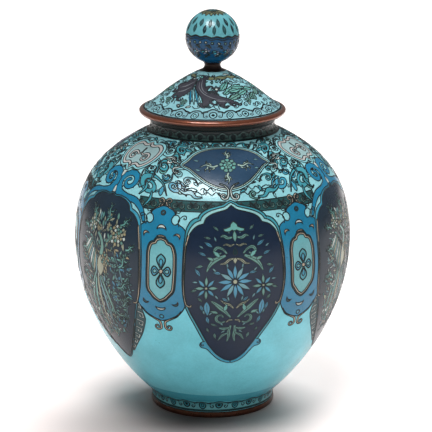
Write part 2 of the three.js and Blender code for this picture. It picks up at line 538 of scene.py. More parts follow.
def weld(mesh):
    """Joins the vertices that meet and turns every face outwards."""
    edit = bmesh.new()
    edit.from_mesh(mesh)
    bmesh.ops.remove_doubles(edit, verts=edit.verts, dist=2e-6)
    bmesh.ops.dissolve_degenerate(edit, edges=edit.edges, dist=1e-7)
    bmesh.ops.recalc_face_normals(edit, faces=edit.faces)
    edit.to_mesh(mesh)
    edit.free()


def enamel_piece(name, node, design, rows, domed):
    """The closed solid of an enamelled piece, its outer side cut into the design's cells."""
    surface, materials = design.surface, enamels()
    flat, faces, colours = cut_cells(design, rows)
    palette = sorted(set(colours) | {design.ground, design.cap})
    vertices, polygons, indices, charts = [], [], [], []
    for repeat in range(design.repeats):
        azimuth, height = surface.wander(flat[:, 0] + repeat * design.span, flat[:, 1])
        polygons.extend((faces + len(vertices)).tolist())
        vertices.extend(surface.place(azimuth, height).tolist())
        indices.extend(palette.index(colour) for colour in colours)
        across = (flat[:, 0] - design.start + repeat * design.span) / math.tau
        charts.append(pairs(across, 0.1 + 0.9 * flat[:, 1] / surface.length)[faces].reshape(-1, 2))
    points = section(node)
    first, last = outer_run(points)
    if domed:
        rest = [([(surface.r[-1], surface.z[-1]), (0, points[last][1])], design.cap)]
    else:
        rest = [(smooth_sections(points[last:], 3), design.ground)]
    if first:
        rest.append((smooth_sections(points[:first + 1], 3), design.ground))
    for run, colour in rest:
        more, faces = sweep(run, design.start + np.arange(COLUMNS) / COLUMNS * math.tau)
        indices.extend([palette.index(colour)] * len(faces))
        polygons.extend([i + len(vertices) for i in face] for face in faces)
        vertices.extend(more)
    mesh = bpy.data.meshes.new(name)
    mesh.from_pydata(vertices, [], polygons)
    mesh.polygons.foreach_set("material_index", np.array(indices, np.int32))
    # The inner side, which has no pattern, gets a thin strip under the outer side's chart
    inner_loops = np.arange(len(mesh.loops) - sum(map(len, charts)))
    charts.append(pairs(np.linspace(0, 1, len(inner_loops)), 0.04 + 0.03 * np.sin(inner_loops * 2.1)))
    layer = mesh.uv_layers.new(name="OFBake")
    layer.uv.foreach_set("vector", np.vstack(charts).astype(np.float32).ravel())
    weld(mesh)
    for colour in palette:
        mesh.materials.append(materials[colour])
    round_off(mesh)
    shade_outside(mesh, surface)
    add_piece(name, mesh, node)


def shade_outside(mesh, surface):
    """Gives the outer side the true normals of its smooth surface, so that small cells don't show facets."""
    def read(items, name, width, kind=np.float32):
        values = np.zeros(len(items) * width, kind)
        items.foreach_get(name, values)
        return values.reshape(-1, width) if width > 1 else values

    co = read(mesh.vertices, "co", 3).astype(float)
    corners = read(mesh.loops, "vertex_index", 1, np.int32)
    sizes = read(mesh.polygons, "loop_total", 1, np.int32)
    face_normals = np.repeat(read(mesh.polygons, "normal", 3), sizes, axis=0)
    normals = surface.normals(co)[corners]
    radius, height = np.hypot(co[:, 0], co[:, 1])[corners] / MM, co[:, 2][corners] / MM
    on_surface = np.abs(radius - np.interp(height, surface.z, surface.r)) < SURFACE_GAP
    on_surface &= (normals * face_normals).sum(1) > FACING
    normals[~on_surface] = 0
    mesh.normals_split_custom_set(normals.tolist())


def visible_runs(path, closed, covers, boxes, order, scale):
    """The stretches of a wire that no later cell covers."""
    path = resampled(path * (1.0, 1.0 / scale), WIRE_STEP / scale, closed) * (1.0, scale)
    low, high = path.min(0), path.max(0)
    near = (boxes[:, 4] >= order) & ((boxes[:, :2] < high) & (boxes[:, 2:4] > low)).all(1)
    hidden = np.zeros(len(path), bool)
    for i in np.flatnonzero(near):
        covered = np.ones(len(path), bool)
        for dx, dy in ((-COVERED, 0), (COVERED, 0), (0, -COVERED), (0, COVERED)):
            covered &= inside(covers[i], path + (dx / scale, dy))
        hidden |= covered
    if not hidden.any():
        return [(path, closed)]
    hidden = np.append(hidden, hidden[:1]) if closed else hidden
    runs = [[]]
    for place, gone in zip(ringed(path, closed), hidden):
        if gone:
            runs.append([])
        else:
            runs[-1].append(place)
    return [(np.array(run), False) for run in runs if len(run) > 2]


def wire_pieces(design, width, proud):
    """The design's wires, as thin closed bars let into the enamel and standing a hair proud of it."""
    surface, span, scale = design.surface, design.span, design.surface.scale
    covers, boxes = [], []
    for order, (outline, _) in enumerate(design.cells):
        for shift in (-span, 0, span):
            covers.append(outline + (shift, 0))
            boxes.append([*covers[-1].min(0), *covers[-1].max(0), order])
    boxes = np.array(boxes)
    parts = {}
    for path, closed, weight, order, part in design.wires:
        vertices, normals, faces = parts.setdefault(part, ([], [], []))
        for run, loop in visible_runs(path, closed, covers, boxes, order, scale):
            run = simplified(run * (scale, 1), 0.02, 2.5, loop) / (scale, 1)
            count = len(run)
            for repeat in range(design.repeats):
                middle = surface.place(*surface.wander(run[:, 0] + repeat * span, run[:, 1]))
                along = rates(middle, loop)
                along /= np.maximum(np.linalg.norm(along, axis=1)[:, None], 1e-12)
                out = surface.normals(middle)
                across = np.cross(along, out)
                half = across * (width * weight / 2 * MM)
                raised, keel = out * proud * MM, middle - out * WIRE_DEPTH * MM
                first = len(vertices)
                bar = np.stack([middle - half + raised, keel, middle + half + raised], 1)
                vertices.extend(bar.reshape(-1, 3).tolist())
                leaning = np.stack([out - LEAN * across, -out, out + LEAN * across], 1).reshape(-1, 3)
                normals.extend((leaning / np.linalg.norm(leaning, axis=1)[:, None]).tolist())
                for i in range(count if loop else count - 1):
                    a, b = first + 3 * i, first + 3 * ((i + 1) % count)
                    faces.extend([(a, b, b + 1, a + 1), (a + 1, b + 1, b + 2, a + 2), (a + 2, b + 2, b, a)])
                if not loop:
                    end = first + 3 * (count - 1)
                    faces.extend([(first, first + 1, first + 2), (end, end + 2, end + 1)])
    material = wire_finish()
    for part, (vertices, normals, faces) in parts.items():
        mesh = bpy.data.meshes.new(f"{part}_wires")
        mesh.from_pydata(vertices, [], faces)
        mesh.materials.append(material)
        mesh.shade_smooth()
        mesh.normals_split_custom_set_from_vertices(normals)
        add_piece(f"{part}_wires", mesh)


def dress(name, node, draw, rows, wire_share=1.0, stop_radius=0.0):
    """Makes an enamelled piece and its wires from its solid and the function that draws its design."""
    points = section(node)
    first, last = outer_run(points)
    design = draw(Turned(points[first:last + 1], stop_radius))
    enamel_piece(name, node, design, rows, stop_radius > 0)
    metal = bpy.context.scene.jar_metal
    wire_pieces(design, metal.wire_width / MM * wire_share, metal.wire_proud / MM)


# Shader maths

class Shade:
    """A node socket that adds Math nodes when it is used in sums."""

    def __init__(self, tree, socket):
        self.tree = tree
        self.socket = socket

    def maths(self, operation, *values, clamp=False):
        node = self.tree.nodes.new("ShaderNodeMath")
        node.operation = operation
        node.use_clamp = clamp
        for socket, value in zip(node.inputs, values):
            connect(self.tree, value, socket)
        return Shade(self.tree, node.outputs[0])

    def __add__(self, other):
        return self.maths("ADD", self, other)

    __radd__ = __add__

    def __sub__(self, other):
        return self.maths("SUBTRACT", self, other)

    def __rsub__(self, other):
        return self.maths("SUBTRACT", other, self)

    def __mul__(self, other):
        return self.maths("MULTIPLY", self, other)

    __rmul__ = __mul__

    def clamped(self):
        return self.maths("ADD", self, 0.0, clamp=True)


def connect(tree, value, socket):
    if isinstance(value, Shade):
        tree.links.new(value.socket, socket)
    else:
        socket.default_value = value


class Finish:
    """A material under construction, with its Principled shader."""

    def __init__(self, name, **plain):
        self.material = bpy.data.materials.new(name)
        self.material.use_nodes = True
        self.tree = self.material.node_tree
        self.shader = self.tree.nodes["Principled BSDF"]
        self.feed(**plain)
        self.place = self.node("ShaderNodeTexCoord", output="Object")

    def node(self, kind, settings=None, output=0, **values):
        """A node of a type, with its settings made first and then the values or links of its sockets."""
        node = self.tree.nodes.new(kind)
        for name, value in (settings or {}).items():
            setattr(node, name, value)
        for name, value in values.items():
            key = int(name[1:]) if name[1:].isdigit() else name.replace("_", " ")
            connect(self.tree, value, node.inputs[key])
        return Shade(self.tree, node.outputs[output])

    def vector(self, operation, first, second=(0, 0, 0), third=(0, 0, 0), output=0):
        """Vector maths."""
        return self.node(
            "ShaderNodeVectorMath", {"operation": operation}, output, _0=first, _1=second, _2=third)

    def noise(self, size, detail=2.0, roughness=0.5):
        """Noise whose lumps are about a size in mm, from 0 to 1."""
        return self.node(
            "ShaderNodeTexNoise", Vector=self.place, Scale=1 / (size * MM), Detail=detail,
            Roughness=roughness)

    def step(self, value, low, high):
        """0 below low, 1 above high, and smooth between."""
        return self.node(
            "ShaderNodeMapRange", {"interpolation_type": "SMOOTHSTEP"}, Value=value,
            From_Min=low, From_Max=high)

    def mix(self, amount, first, second):
        """Mixes two colours, given as linear values or links."""
        first, second = ((*c, 1.0) if isinstance(c, tuple) else c for c in (first, second))
        return self.node("ShaderNodeMix", {"data_type": "RGBA"}, 2, _0=amount, _6=first, _7=second)

    def feed(self, **links):
        """Sets or links sockets of the shader."""
        for name, value in links.items():
            connect(self.tree, value, self.shader.inputs[name.replace("_", " ")])
        return self.material

    def bump(self, height, depth):
        """Relief from a height of 0 to 1, with its depth in mm."""
        return self.node("ShaderNodeBump", Height=height, Strength=1.0, Distance=depth * MM)


def scaled(colour, factor):
    return tuple(min(channel * factor, 1.0) for channel in colour)


def enamel_finish(name, colour, depth):
    """Polished enamel: clouded in its colour, with fine specks and pits, under a clear gloss."""
    finish = Finish(f"enamel_{name}", IOR=1.5 if max(colour) > DARK_ENAMEL else 1.36)
    cloud = finish.noise(9.0, 3.0)
    grain = finish.noise(0.7, 2.0)
    tone = (cloud * 0.65 + grain * 0.35 - 0.5) * 2.0 * depth + 0.5
    base = finish.mix(tone.clamped(), scaled(colour, 0.72), scaled(colour, 1.25))
    specks = finish.node("ShaderNodeTexVoronoi", Vector=finish.place, Scale=1 / (6.5 * MM))
    pits = 1.0 - finish.step(specks, 0.02, 0.06)
    base = finish.mix(pits * 0.55, base, scaled(colour, 0.25))
    surface = grain * 0.3 + finish.noise(4.0) * 0.7 - pits * 0.5
    return finish.feed(
        Base_Color=base,
        Roughness=0.17 + 0.12 * finish.noise(2.5),
        Normal=finish.bump(surface, 0.035),
    )


def wire_finish():
    """Drawn wire toned dark with age, the same material for every wire."""
    material = bpy.data.materials.get("aged_wire")
    if material:
        return material
    colour = (*bpy.context.scene.jar_metal.wire_tone, 1.0)
    finish = Finish("aged_wire", Metallic=0.35, IOR=1.3, Base_Color=colour)
    return finish.feed(Roughness=0.34 + 0.22 * finish.noise(1.5))


def copper_finish(name, dark, bare, worn_from, worn_to, along="radius", gloss=0.0):
    """Toned copper, rubbed back to bare metal where a radius or a height passes from low to high, in mm."""
    finish = Finish(name, IOR=1.3, Coat_Weight=gloss, Coat_Roughness=0.12)
    if along == "radius":
        flat = finish.vector("MULTIPLY", finish.place, (1, 1, 0))
        reach = finish.vector("LENGTH", flat, output="Value")
    else:
        reach = finish.node("ShaderNodeSeparateXYZ", output="Z", Vector=finish.place)
    blotch = finish.noise(3.5, 4.0, 0.6)
    scratch = finish.noise(0.35, 3.0, 0.7)
    rubbed = finish.step(reach + (blotch - 0.5) * 0.9 * MM, worn_from * MM, worn_to * MM)
    worn = (rubbed * (0.35 + 0.9 * blotch)).clamped()
    dark_tone = finish.mix(finish.step(scratch, 0.42, 0.62), dark, scaled(dark, 1.7))
    return finish.feed(
        Base_Color=finish.mix(worn, dark_tone, bare),
        Roughness=0.3 - 0.08 * worn + 0.1 * scratch,
        Metallic=0.4 + 0.4 * worn,
        Normal=finish.bump(scratch * 0.5 + blotch * 0.5, 0.05),
    )


# Motifs

def flower(spot, petals, length, width, colours, core, core_colour, start=0.7):
    """Petals round a core, their colours taken in turn."""
    for i in range(petals):
        outline = leaf(length, width, start=start)
        spot.at(turn=360 * i / petals).cell(outline, colours[i % len(colours)], width=0.6)
    spot.cell(circle(core, steps=10), core_colour, width=0.7)


def rosette(spot, rings, colours, size=1.0):
    """A full blossom of small petals in rings, drawn from the outermost in."""
    for ring in range(rings, 0, -1):
        count = 3 + 3 * ring
        outline = petal(1.55 * size, 1.5 * size, 1.25 * ring * size - 1.3 * size)
        for i in range(count):
            turned = spot.at(turn=360 * (i + 0.5 * (ring % 2)) / count)
            turned.cell(outline, colours[(i + ring) % len(colours)], width=0.6)
    spot.cell(circle(0.45 * size, steps=8), colours[0], width=0.6)


def scroll(spot, radius, colour, turns=1.25, tail=(), start=90.0, band=None):
    """A volute of coloured enamel between two wires, which a tail may lead into."""
    band = band or radius * 0.58
    path = spiral(radius, turns, 0.2, start)
    if tail:
        path = led([*tail, path[0]], path, 5)
    spot.cell(stroke(path, 0.25, band, band * 0.35), colour, width=0.95)


def curl(spot, radius, turns=1.1, start=90.0, tail=(), width=0.9):
    """A single wire that winds into a small volute."""
    path = spiral(radius, turns, start=start)
    spot.line(led([*tail, path[0]], path) if tail else path, width)


def sprig(spot, length, colour, leaves):
    """Small leaves in pairs and one at the tip."""
    width = length * 0.2
    spot.cell(leaf(length * 0.45, width * 1.1, start=length * 0.58), colour, width=0.6)
    for i in range(leaves):
        for half in spot.at(0, length * (0.1 + 0.2 * i)).halves():
            outline = leaf(length * (0.46 - 0.06 * i), width, 0.1 * length)
            half.at(turn=-52).cell(outline, colour, width=0.55)


def branch(spot, length, colour, twigs=4):
    """A crooked bare stem with forked twigs."""
    for i in range(twigs):
        knot = spot.at(0.05 * length, length * (0.16 + 0.2 * i), flip=i % 2 == 1)
        side = knot.at(turn=-38 - 9 * (i % 3))
        reach = length * (0.52 - 0.07 * i)
        twig = np.array([(0, 0), (0.16, 0.34), (-0.04, 0.7), (0.2, 1)]) * reach
        side.cell(brush(twig, 0.55, 0.5, 0.15), colour, width=0.6)
        fork = side.at(0.08 * reach, reach * 0.5, 42)
        fork.cell(leaf(reach * 0.46, 0.5, 0.3), colour, width=0.6)
    stem = smooth([(0, 0), (0.1, 0.3), (-0.05, 0.62), (0.12, 1)]) * length
    spot.cell(stroke(stem, 0.8, 0.7, 0.2), colour, width=0.6)


def strewn(design, low, high, spacing, seed, draw):
    """Calls draw with spots that fill a band evenly but not in rows, and with a random source."""
    source = random.Random(seed)
    start, end = design.start, design.start + design.span
    rows = max(round((high - low) / spacing), 1)
    for row in range(rows):
        height = low + (row + 0.5) * (high - low) / rows
        radius = design.across(1, height)
        columns = max(round((end - start) * radius / spacing), 1)
        for column in range(columns):
            azimuth = start + (end - start) * (column + 0.5 * (row % 2) + 0.25) / columns
            azimuth += source.uniform(-0.28, 0.28) * spacing / radius
            spot = design.spot(azimuth, height + source.uniform(-0.28, 0.28) * spacing)
            draw(spot.at(turn=source.uniform(0, 360), flip=source.random() < 0.5), source)


def scattered(centre, reach, spacing, seed, draw):
    """Calls draw at places that fill an oval evenly but not in rows, with a random source."""
    source = random.Random(seed)
    rows = int(reach[1] / spacing)
    for row in range(-rows, rows + 1):
        for column in range(-int(reach[0] / spacing) - 1, int(reach[0] / spacing) + 2):
            x = (column + 0.5 * (row % 2)) * spacing + source.uniform(-0.3, 0.3) * spacing
            y = row * spacing * 0.9 + source.uniform(-0.3, 0.3) * spacing
            if (x / reach[0]) ** 2 + (y / reach[1]) ** 2 < 1:
                draw(centre[0] + x, centre[1] + y, source)


FLOWER_FIELD = [
    (10.4, 87.9), (12.6, 87.2), (15, 85.2), (16.8, 82.2), (17.8, 78), (18.2, 72), (18, 66), (17.2, 60.5),
    (15.6, 55.5), (13.2, 50.5), (10.2, 45), (7, 39.5), (3.8, 35.3), (1.5, 33.5), (0, 33),
]
FLOWER_TIP = [(0, 94.8), (1.6, 93.3), (4.5, 92.3), (7.6, 91.1), (9.6, 89.5), (10.4, 87.9)]
FOLIAGE_FIELD = [
    (10.9, 90.2), (13.2, 89.2), (15.8, 86.6), (17.2, 83), (18.2, 77), (18.3, 70), (17.8, 63), (16.4, 56.5),
    (13.8, 50), (10.6, 43.5), (7.2, 37.8), (3.8, 33), (1.4, 30.3), (0, 29.5),
]
FOLIAGE_TIP = [(0, 95.2), (1.2, 94.5), (4.5, 94.5), (8, 93.5), (10.2, 91.8), (10.9, 90.2)]


def field(tip, side):
    """A closed outline from its pointed top and its long side."""
    return mirrored(led(tip, smooth(side)))


def hooked_strips(spot, path):
    """A tan strip between wires along both sides of a panel."""
    for half in spot.halves():
        half.cell(brush(path, 0.62, 0.62, 0.62), "tan", width=0.85)


def strokes(spot, colour, paths):
    """Veined brush strokes, each given as its points and its widths at both ends and the middle."""
    for points, widths in paths:
        spot.cell(brush(points, *widths), colour, width=0.6)
        spot.line(smooth(points)[2:-2], 0.5)


def flower_panel(spot):
    """The front panel: a pale three-lobed blossom, two pairs of ribboned birds, and blue flowers."""
    spot.design.part = "flower_panel"
    outline = field(FLOWER_TIP, FLOWER_FIELD)
    y = outline[:, 1]
    outer = np.interp(y, [33, 57, 60, 82, 87, 95], [0.95, 0.85, 0.6, 0.9, 2.6, 2])
    spot.cell(grown(outline, outer), "teal")
    for half in spot.halves():
        half.cell(smooth([
            (9.2, 42.4), (10.6, 41.9), (11, 40.6), (10.2, 39.5), (8.8, 39.2), (6.8, 37), (4.4, 34),
            (2.2, 32.5), (0, 32), (0, 33.4), (3.4, 35.4), (6.6, 39),
        ], 3, True), "azure")
        curl(half.at(9.9, 40.8), 0.8, 1.1, 60)
    spot.cell(grown(outline, np.interp(y, [33, 80, 84, 88, 95], [0, 0, 0.7, 1.45, 1.1])), "cream")
    spot.cell(outline, "navy")
    hooked_strips(spot, [
        (16.2, 83.6), (17.4, 80.6), (18.2, 76), (18.3, 70), (18.1, 65), (17.4, 60.6), (16.5, 58),
        (15.4, 57.7), (15.2, 58.6),
    ])
    for half in spot.halves():
        strokes(half, "sage", [
            ([(3, 77.2), (4.6, 78.9), (6.6, 79.4), (7.6, 78), (6.4, 76.9), (5, 77.6)], (0.7, 1.1, 0.5)),
            ([(3.4, 76.6), (5.6, 75.6), (7.6, 74.6), (9.2, 72.8), (10.2, 70.6)], (0.9, 1.9, 0.5)),
            ([(3, 51.4), (4.6, 50.9), (6.2, 52.2), (6, 54), (4.4, 54.4), (3.8, 53.4)], (0.7, 1.1, 0.5)),
            ([(1.2, 53.4), (3, 55.6), (5, 57.6), (7.2, 59.6), (8.4, 60.4)], (0.6, 1.7, 0.4)),
            ([(0.7, 49.6), (1.1, 47), (0.9, 44.6), (1.4, 42.2)], (0.8, 1.3, 0.4)),
            ([(1, 48.6), (3, 48), (4.8, 48.4)], (0.5, 1.3, 0.6)),
            ([(1.1, 46.2), (3.2, 45), (4.6, 42.8)], (0.5, 1.1, 0.3)),
            ([(0.9, 83), (2.6, 82.8), (4, 83.6), (5.2, 83.2)], (0.6, 1.2, 0.3)),
        ])
        strokes(half, "sand", [
            ([(0.3, 80.6), (1.8, 80), (3.2, 80.6), (4.4, 80.2)], (0.4, 0.8, 0.3)),
            ([(0.4, 75.4), (2.2, 74.9), (3.8, 73.6), (5.4, 73.4)], (0.6, 1.1, 0.3)),
            ([(0.5, 57.4), (1.8, 58.8), (3.4, 59.4), (5, 60.6)], (0.5, 1, 0.3)),
            ([(0.4, 52.2), (1.6, 52.2), (2.6, 51)], (0.5, 0.9, 0.3)),
        ])
        for x, height, turn, length in (
            (9.9, 60.2, 178, 6.2), (12, 58.8, 165, 3.2), (8.2, 79.6, -52, 3.4), (10.6, 76.4, -62, 3),
            (11.6, 72.6, -95, 2.6), (12.4, 69.2, -35, 3.2), (8.6, 82.6, -70, 2.4), (12.9, 61.6, 140, 2.4),
            (9.6, 53.6, 170, 3.4), (8, 50.4, 120, 2.6), (9.2, 48.4, 160, 2.2), (6.2, 46, 170, 2.6),
            (5.6, 85.4, -40, 2.4), (13.4, 64.4, -100, 2.4), (5, 69.9, -75, 3), (4.6, 61.6, 130, 2.8),
        ):
            colour = "sky" if length > 2.7 else "sage"
            half.at(x, height, turn).cell(leaf(length, length * 0.36, 0.3), colour, width=0.55)
            half.at(x, height, turn).line([(0, 0.2 * length), (0.2, 0.8 * length)], 0.45)
        half.at(5.6, 75.8, -38).cell(frond(3.6, 1.7, 3, 0.5), "mint", width=0.6)
        half.at(7.8, 74.6, -58).cell(frond(2.8, 1.4, 3, 0.4), "sage", width=0.6)
        half.at(3.6, 56.2, 8).cell(frond(3.2, 1.6, 3, -0.4), "mint", width=0.6)
        half.at(5.8, 55.2, -64).cell(frond(3, 1.5, 3, 0.4), "sage", width=0.6)
        for x, height, turn in ((1.8, 84.2, -20), (6.8, 81.6, -10), (13.2, 67, -80), (11.4, 79, -50),
                                (2.4, 47.2, -120), (7.8, 55.6, -130), (11, 56.4, 170), (4.6, 51, 150),
                                (7, 62.6, 150), (6.8, 70.6, -40), (2.6, 62, 170), (2.6, 72, -10)):
            half.at(x, height, turn).cell(leaf(1.9, 0.75, 0.2, 4), "haze", width=0.5)
        flower(half.at(10.1, 65), 8, 3.3, 1.15, ("sage", "sky"), 0.55, "sand", 0.8)
    crown = [(0, 84.4), (0.6, 85.6), (1.9, 84.9), (3.4, 85), (3.9, 85.9), (2.5, 86.3), (1.4, 86.7),
             (1.1, 87.7), (0, 88.7)]
    spot.cell(mirrored(crown[::-1]), "mint")
    spot.at(0, 81.4).cell(leaf(4.2, 1.5), "sage", width=0.6)
    spot.at(0, 79.6, 180).cell(petal(3.2, 1.7), "ink", width=0.6)
    spot.at(0, 73.4).cell(petal(2.3, 1.6), "sand", width=0.6)
    flower(spot.at(0, 67), 12, 5, 1.5, ("sky", "sky", "haze"), 0.85, "sand", 1.1)


def key_border(spot, outline, low, high):
    """A band of square hooks that follows both lower sides of a panel."""
    half = outline[: len(outline) // 2 + 1]
    within = (half[:, 1] > low) & (half[:, 1] < high)
    rails = []
    for amount in (0.4, np.interp(outline[:, 1], [33, 46, 52, 57.5], [0.9, 3.9, 4.6, 1])):
        rail = grown(outline, amount)[: len(half)][within]
        length = np.hypot(*np.diff(rail, axis=0).T).sum()
        rails.append(resampled(rail, length / 14))
    inner, outer = rails
    for side in spot.halves():
        side.cell(np.vstack([inner, outer[::-1]]), "slate")
        for i in range(0, min(len(inner), len(outer)) - 2, 2):
            hook = [
                inner[i] * 0.85 + outer[i] * 0.15, inner[i] * 0.2 + outer[i] * 0.8,
                inner[i + 1] * 0.2 + outer[i + 1] * 0.8, inner[i + 1] * 0.55 + outer[i + 1] * 0.45,
                (inner[i] + inner[i + 1]) * 0.28 + (outer[i] + outer[i + 1]) * 0.22,
            ]
            side.cell(stroke(np.array(hook), 0.6, 0.6, 0.6), "fog", width=0.6)


def foliage_panel(spot):
    """The side panel: a plumed bird among close leaves, branches and full blossoms."""
    spot.design.part = "foliage_panel"
    outline = field(FOLIAGE_TIP, FOLIAGE_FIELD)
    y = outline[:, 1]
    key_border(spot, outline, 34, 57.5)
    spot.cell(grown(outline, np.interp(y, [29, 57, 60, 82, 88, 95], [0.5, 0.6, 0.9, 0.9, 1.5, 0.5])), "azure")
    spot.cell(outline, "indigo_grey")
    hooked_strips(spot, [
        (16.6, 85.4), (17.6, 81.6), (18.4, 76), (18.4, 69), (18.1, 63), (17.2, 58.2), (16, 56.2), (15, 56.4),
    ])

    def filler(x, height, source):
        warm = height > 73 and x > 2 or abs(x) < 4 and 66 < height < 76
        if warm:
            colours = ("ochre", "sand", "sage")
        elif x > 5:
            colours = ("haze", "sky", "mint", "sage")
        else:
            colours = ("sage", "mint", "sand", "haze", "fog")
        flow = 200 - 3 * x if x < 4 else source.uniform(0, 360)
        length = source.uniform(1.7, 3.3)
        outline = leaf(length, length * source.uniform(0.28, 0.45), source.uniform(-0.6, 0.6), 4)
        place = spot.at(x, height, flow + source.uniform(-40, 40))
        place.cell(outline, source.choice(colours), width=0.55)

    scattered((-0.2, 64.5), (13.8, 25.5), 1.7, 7, filler)
    for path in (
        [(9, 45), (11.6, 54), (10.8, 63), (9, 70), (6, 75)],
        [(10.9, 57), (13.4, 61), (13.8, 66.5)],
        [(11, 61), (8, 64.6), (7.2, 68.6)],
        [(-2, 40), (1.2, 45), (2, 52), (4.6, 57)],
    ):
        spot.cell(brush(path, 0.3, 0.85, 0.3, 5), "haze", width=0.6)
    for x, height, turn in ((10, 49, -20), (11.6, 53.4, 50), (13.6, 66.4, -10), (7.2, 68.4, 10),
                            (1, 41.6, 165), (-3.4, 41, 150), (4.6, 57, -30), (12.8, 60.6, -70)):
        sprig(spot.at(x, height, turn), 3.6, "haze" if x > 8 else "mint", 2)
    for i, (x, end) in enumerate(((-8.6, 47.5), (-5.4, 44), (-2.2, 42.6), (1.2, 45), (4.4, 49))):
        tail = smooth([(-1.6, 68), (x * 0.5 - 1.6, 60.5), (x * 0.9 - 0.6, 53.5), (x, end)], 5)
        spot.cell(stroke(tail, 0.6, 1.5, 0.8), ("sage", "mint", "sand", "haze", "sage")[i], width=0.7)
    for i in range(10):
        share = i / 9
        feather = leaf(12.5 - 5 * share, 1.3, -1.4 + 2 * share, 7)
        place = spot.at(-0.8 - 5.6 * share, 72 + 5.2 * share, 176 - 34 * share)
        place.cell(feather, ("sage", "fog", "haze", "sand")[i % 4], width=0.6)
    spot.at(-1.2, 63.5, -8).cell(leaf(11, 4.2, 0.9), "sand", width=0.8)
    neck = smooth([(0, 72), (0.8, 75), (-0.6, 78), (-2.6, 79.4)], 5)
    spot.cell(stroke(neck, 2.2, 1.5, 1.1), "sage", width=0.7)
    for turn in (-36, -6, 26):
        spot.at(-2.6, 79.6, turn).cell(leaf(3, 0.9, 0.4), "ochre", width=0.55)
    rosette(spot.at(8.2, 80), 3, ("ochre", "sand", "sage", "fog"))
    rosette(spot.at(-6.6, 81.6), 2, ("sand", "sage", "fog"), 0.95)
    rosette(spot.at(2.4, 70.6), 2, ("ochre", "sand", "sage"), 0.9)
    rosette(spot.at(-7, 58.6), 1, ("fog", "sage"), 1)
    rosette(spot.at(6.4, 56.2), 1, ("sky", "sage"), 1)
    for x, height, turn, length in (
        (-9.4, 79.6, 66, 5), (-5.6, 83.4, 24, 6.6), (1.2, 84, -8, 7.6), (8.6, 83.8, -52, 5.6),
        (12.4, 75.6, -66, 4.4), (9.2, 69.2, -38, 7), (8, 61, -62, 7), (9.4, 53.4, -30, 6.6),
        (5, 50.6, -112, 6.4), (-9.8, 72, 80, 4.8), (-9.6, 63.4, 110, 5.2),
    ):
        branch(spot.at(x, height, turn), length, "mint" if height > 60 else "sage")


STRAP_FIELD = [
    (0, 93.8), (2.4, 93), (4.4, 91.6), (4.9, 89.6), (6, 87.6), (8.2, 86), (10, 80), (10.6, 70), (10, 61),
    (8.2, 56), (5.6, 53), (2.6, 51.3), (0, 50.4),
]
MEDALLION = [
    (0, 81.2), (1.3, 80.8), (2, 79.6), (3.3, 79.2), (4.2, 77.2), (4.5, 73), (4.5, 67), (4.1, 63.6),
    (2.7, 61.9), (1.6, 60.6), (0, 59.6),
]


def strap(spot):
    """The bright blue strap between two panels, with its oblong medallion."""
    spot.design.part = "strap"
    outline = mirrored(smooth(STRAP_FIELD))
    spot.cell(outline, "cobalt")
    for half in spot.halves():
        half.cell(smooth([
            (4.3, 90.4), (5.6, 90.6), (6.6, 89.2), (6.1, 87.9), (5, 87), (3.9, 87.7), (3.6, 89.2),
        ], 3, True), "pale")
        curl(half.at(8.3, 89.6), 1.1, 1.2, 150, [(-1.9, -3.2), (-2.2, -0.8)])
        curl(half.at(7.4, 92.4), 0.9, 1.2, 200, [(-2.6, -0.6), (-1.4, -1.2)])
        half.at(5.6, 82.4, -32).cell(crescent(2.5, 1.7, 0.85), "tan", width=0.9)
        half.at(5.3, 58.9, -148).cell(crescent(2.5, 1.6, 0.8), "slate", width=0.9)
        coil = spiral(1.45, 1.15, 0.2, 180) * (1, -1) + (2.15, 47.8)
        foot_band = led([(7.6, 55.4), (5.8, 53), (3, 51.2), (0.9, 49.8), (0.7, 48.4)], coil)
        half.cell(stroke(foot_band, 0.35, 0.72, 0.3), "tan", width=0.9)
        coil = spiral(1.2, 1.15, 0.2, 180) + (1.65, 95.5)
        head_band = led([(5.2, 90.9), (3.6, 92.5), (1.6, 93.5), (0.5, 94.4)], coil)
        half.cell(stroke(head_band, 0.3, 0.62, 0.3), "tan", width=0.9)
    spot.cell(circle(0.9, 0, 91.2, 12), "slate")
    spot.cell(circle(0.42, 0, 91.2, 8), "cobalt", width=0.7)
    spot.at(0, 84.9).cell(crescent(3.6, 2, 1.15), "fog")
    spot.at(0, 81.8).cell(crescent(3.8, 1.2, 0.7), "tan")
    spot.at(0, 56.6, 180).cell(crescent(3.8, 1.7, 1), "fog")
    spot.cell(circle(0.8, 0, 52.3, 10), "azure")
    medallion = mirrored(smooth(MEDALLION))
    spot.cell(grown(medallion, 1.15), "slate")
    spot.cell(grown(medallion, 0.66), "tan", width=0.9)
    spot.cell(medallion, "opal")
    for turn, reach in ((0, 5.3), (90, 3.3), (180, 5.3), (270, 3.3)):
        side = spot.at(0, 70.2, turn)
        side.cell(petal(reach, 3.3, 0.5), "azure" if turn % 180 else "teal", width=1.3)
        side.cell(petal(reach * 0.55, 1.5, 1.3), "opal" if turn % 180 else "azure", width=1)
    spot.cell(circle(0.8, 0, 70.2, 10), "tan")


def frieze(design, axis):
    """The dark green band over the flower panel, filled with small scrolls."""
    design.part = "frieze"
    reach = math.radians(43.5)
    design.zone(92.1, 96.2, "bottle", start=axis - reach, end=axis + reach)
    steps = 26
    for i in range(steps):
        spot = design.spot(axis + reach * (2 * (i + 0.5) / steps - 1), 94.15)
        scroll(spot.at(flip=i % 2 == 0), 1.4, "moss", 1.3, band=0.6)


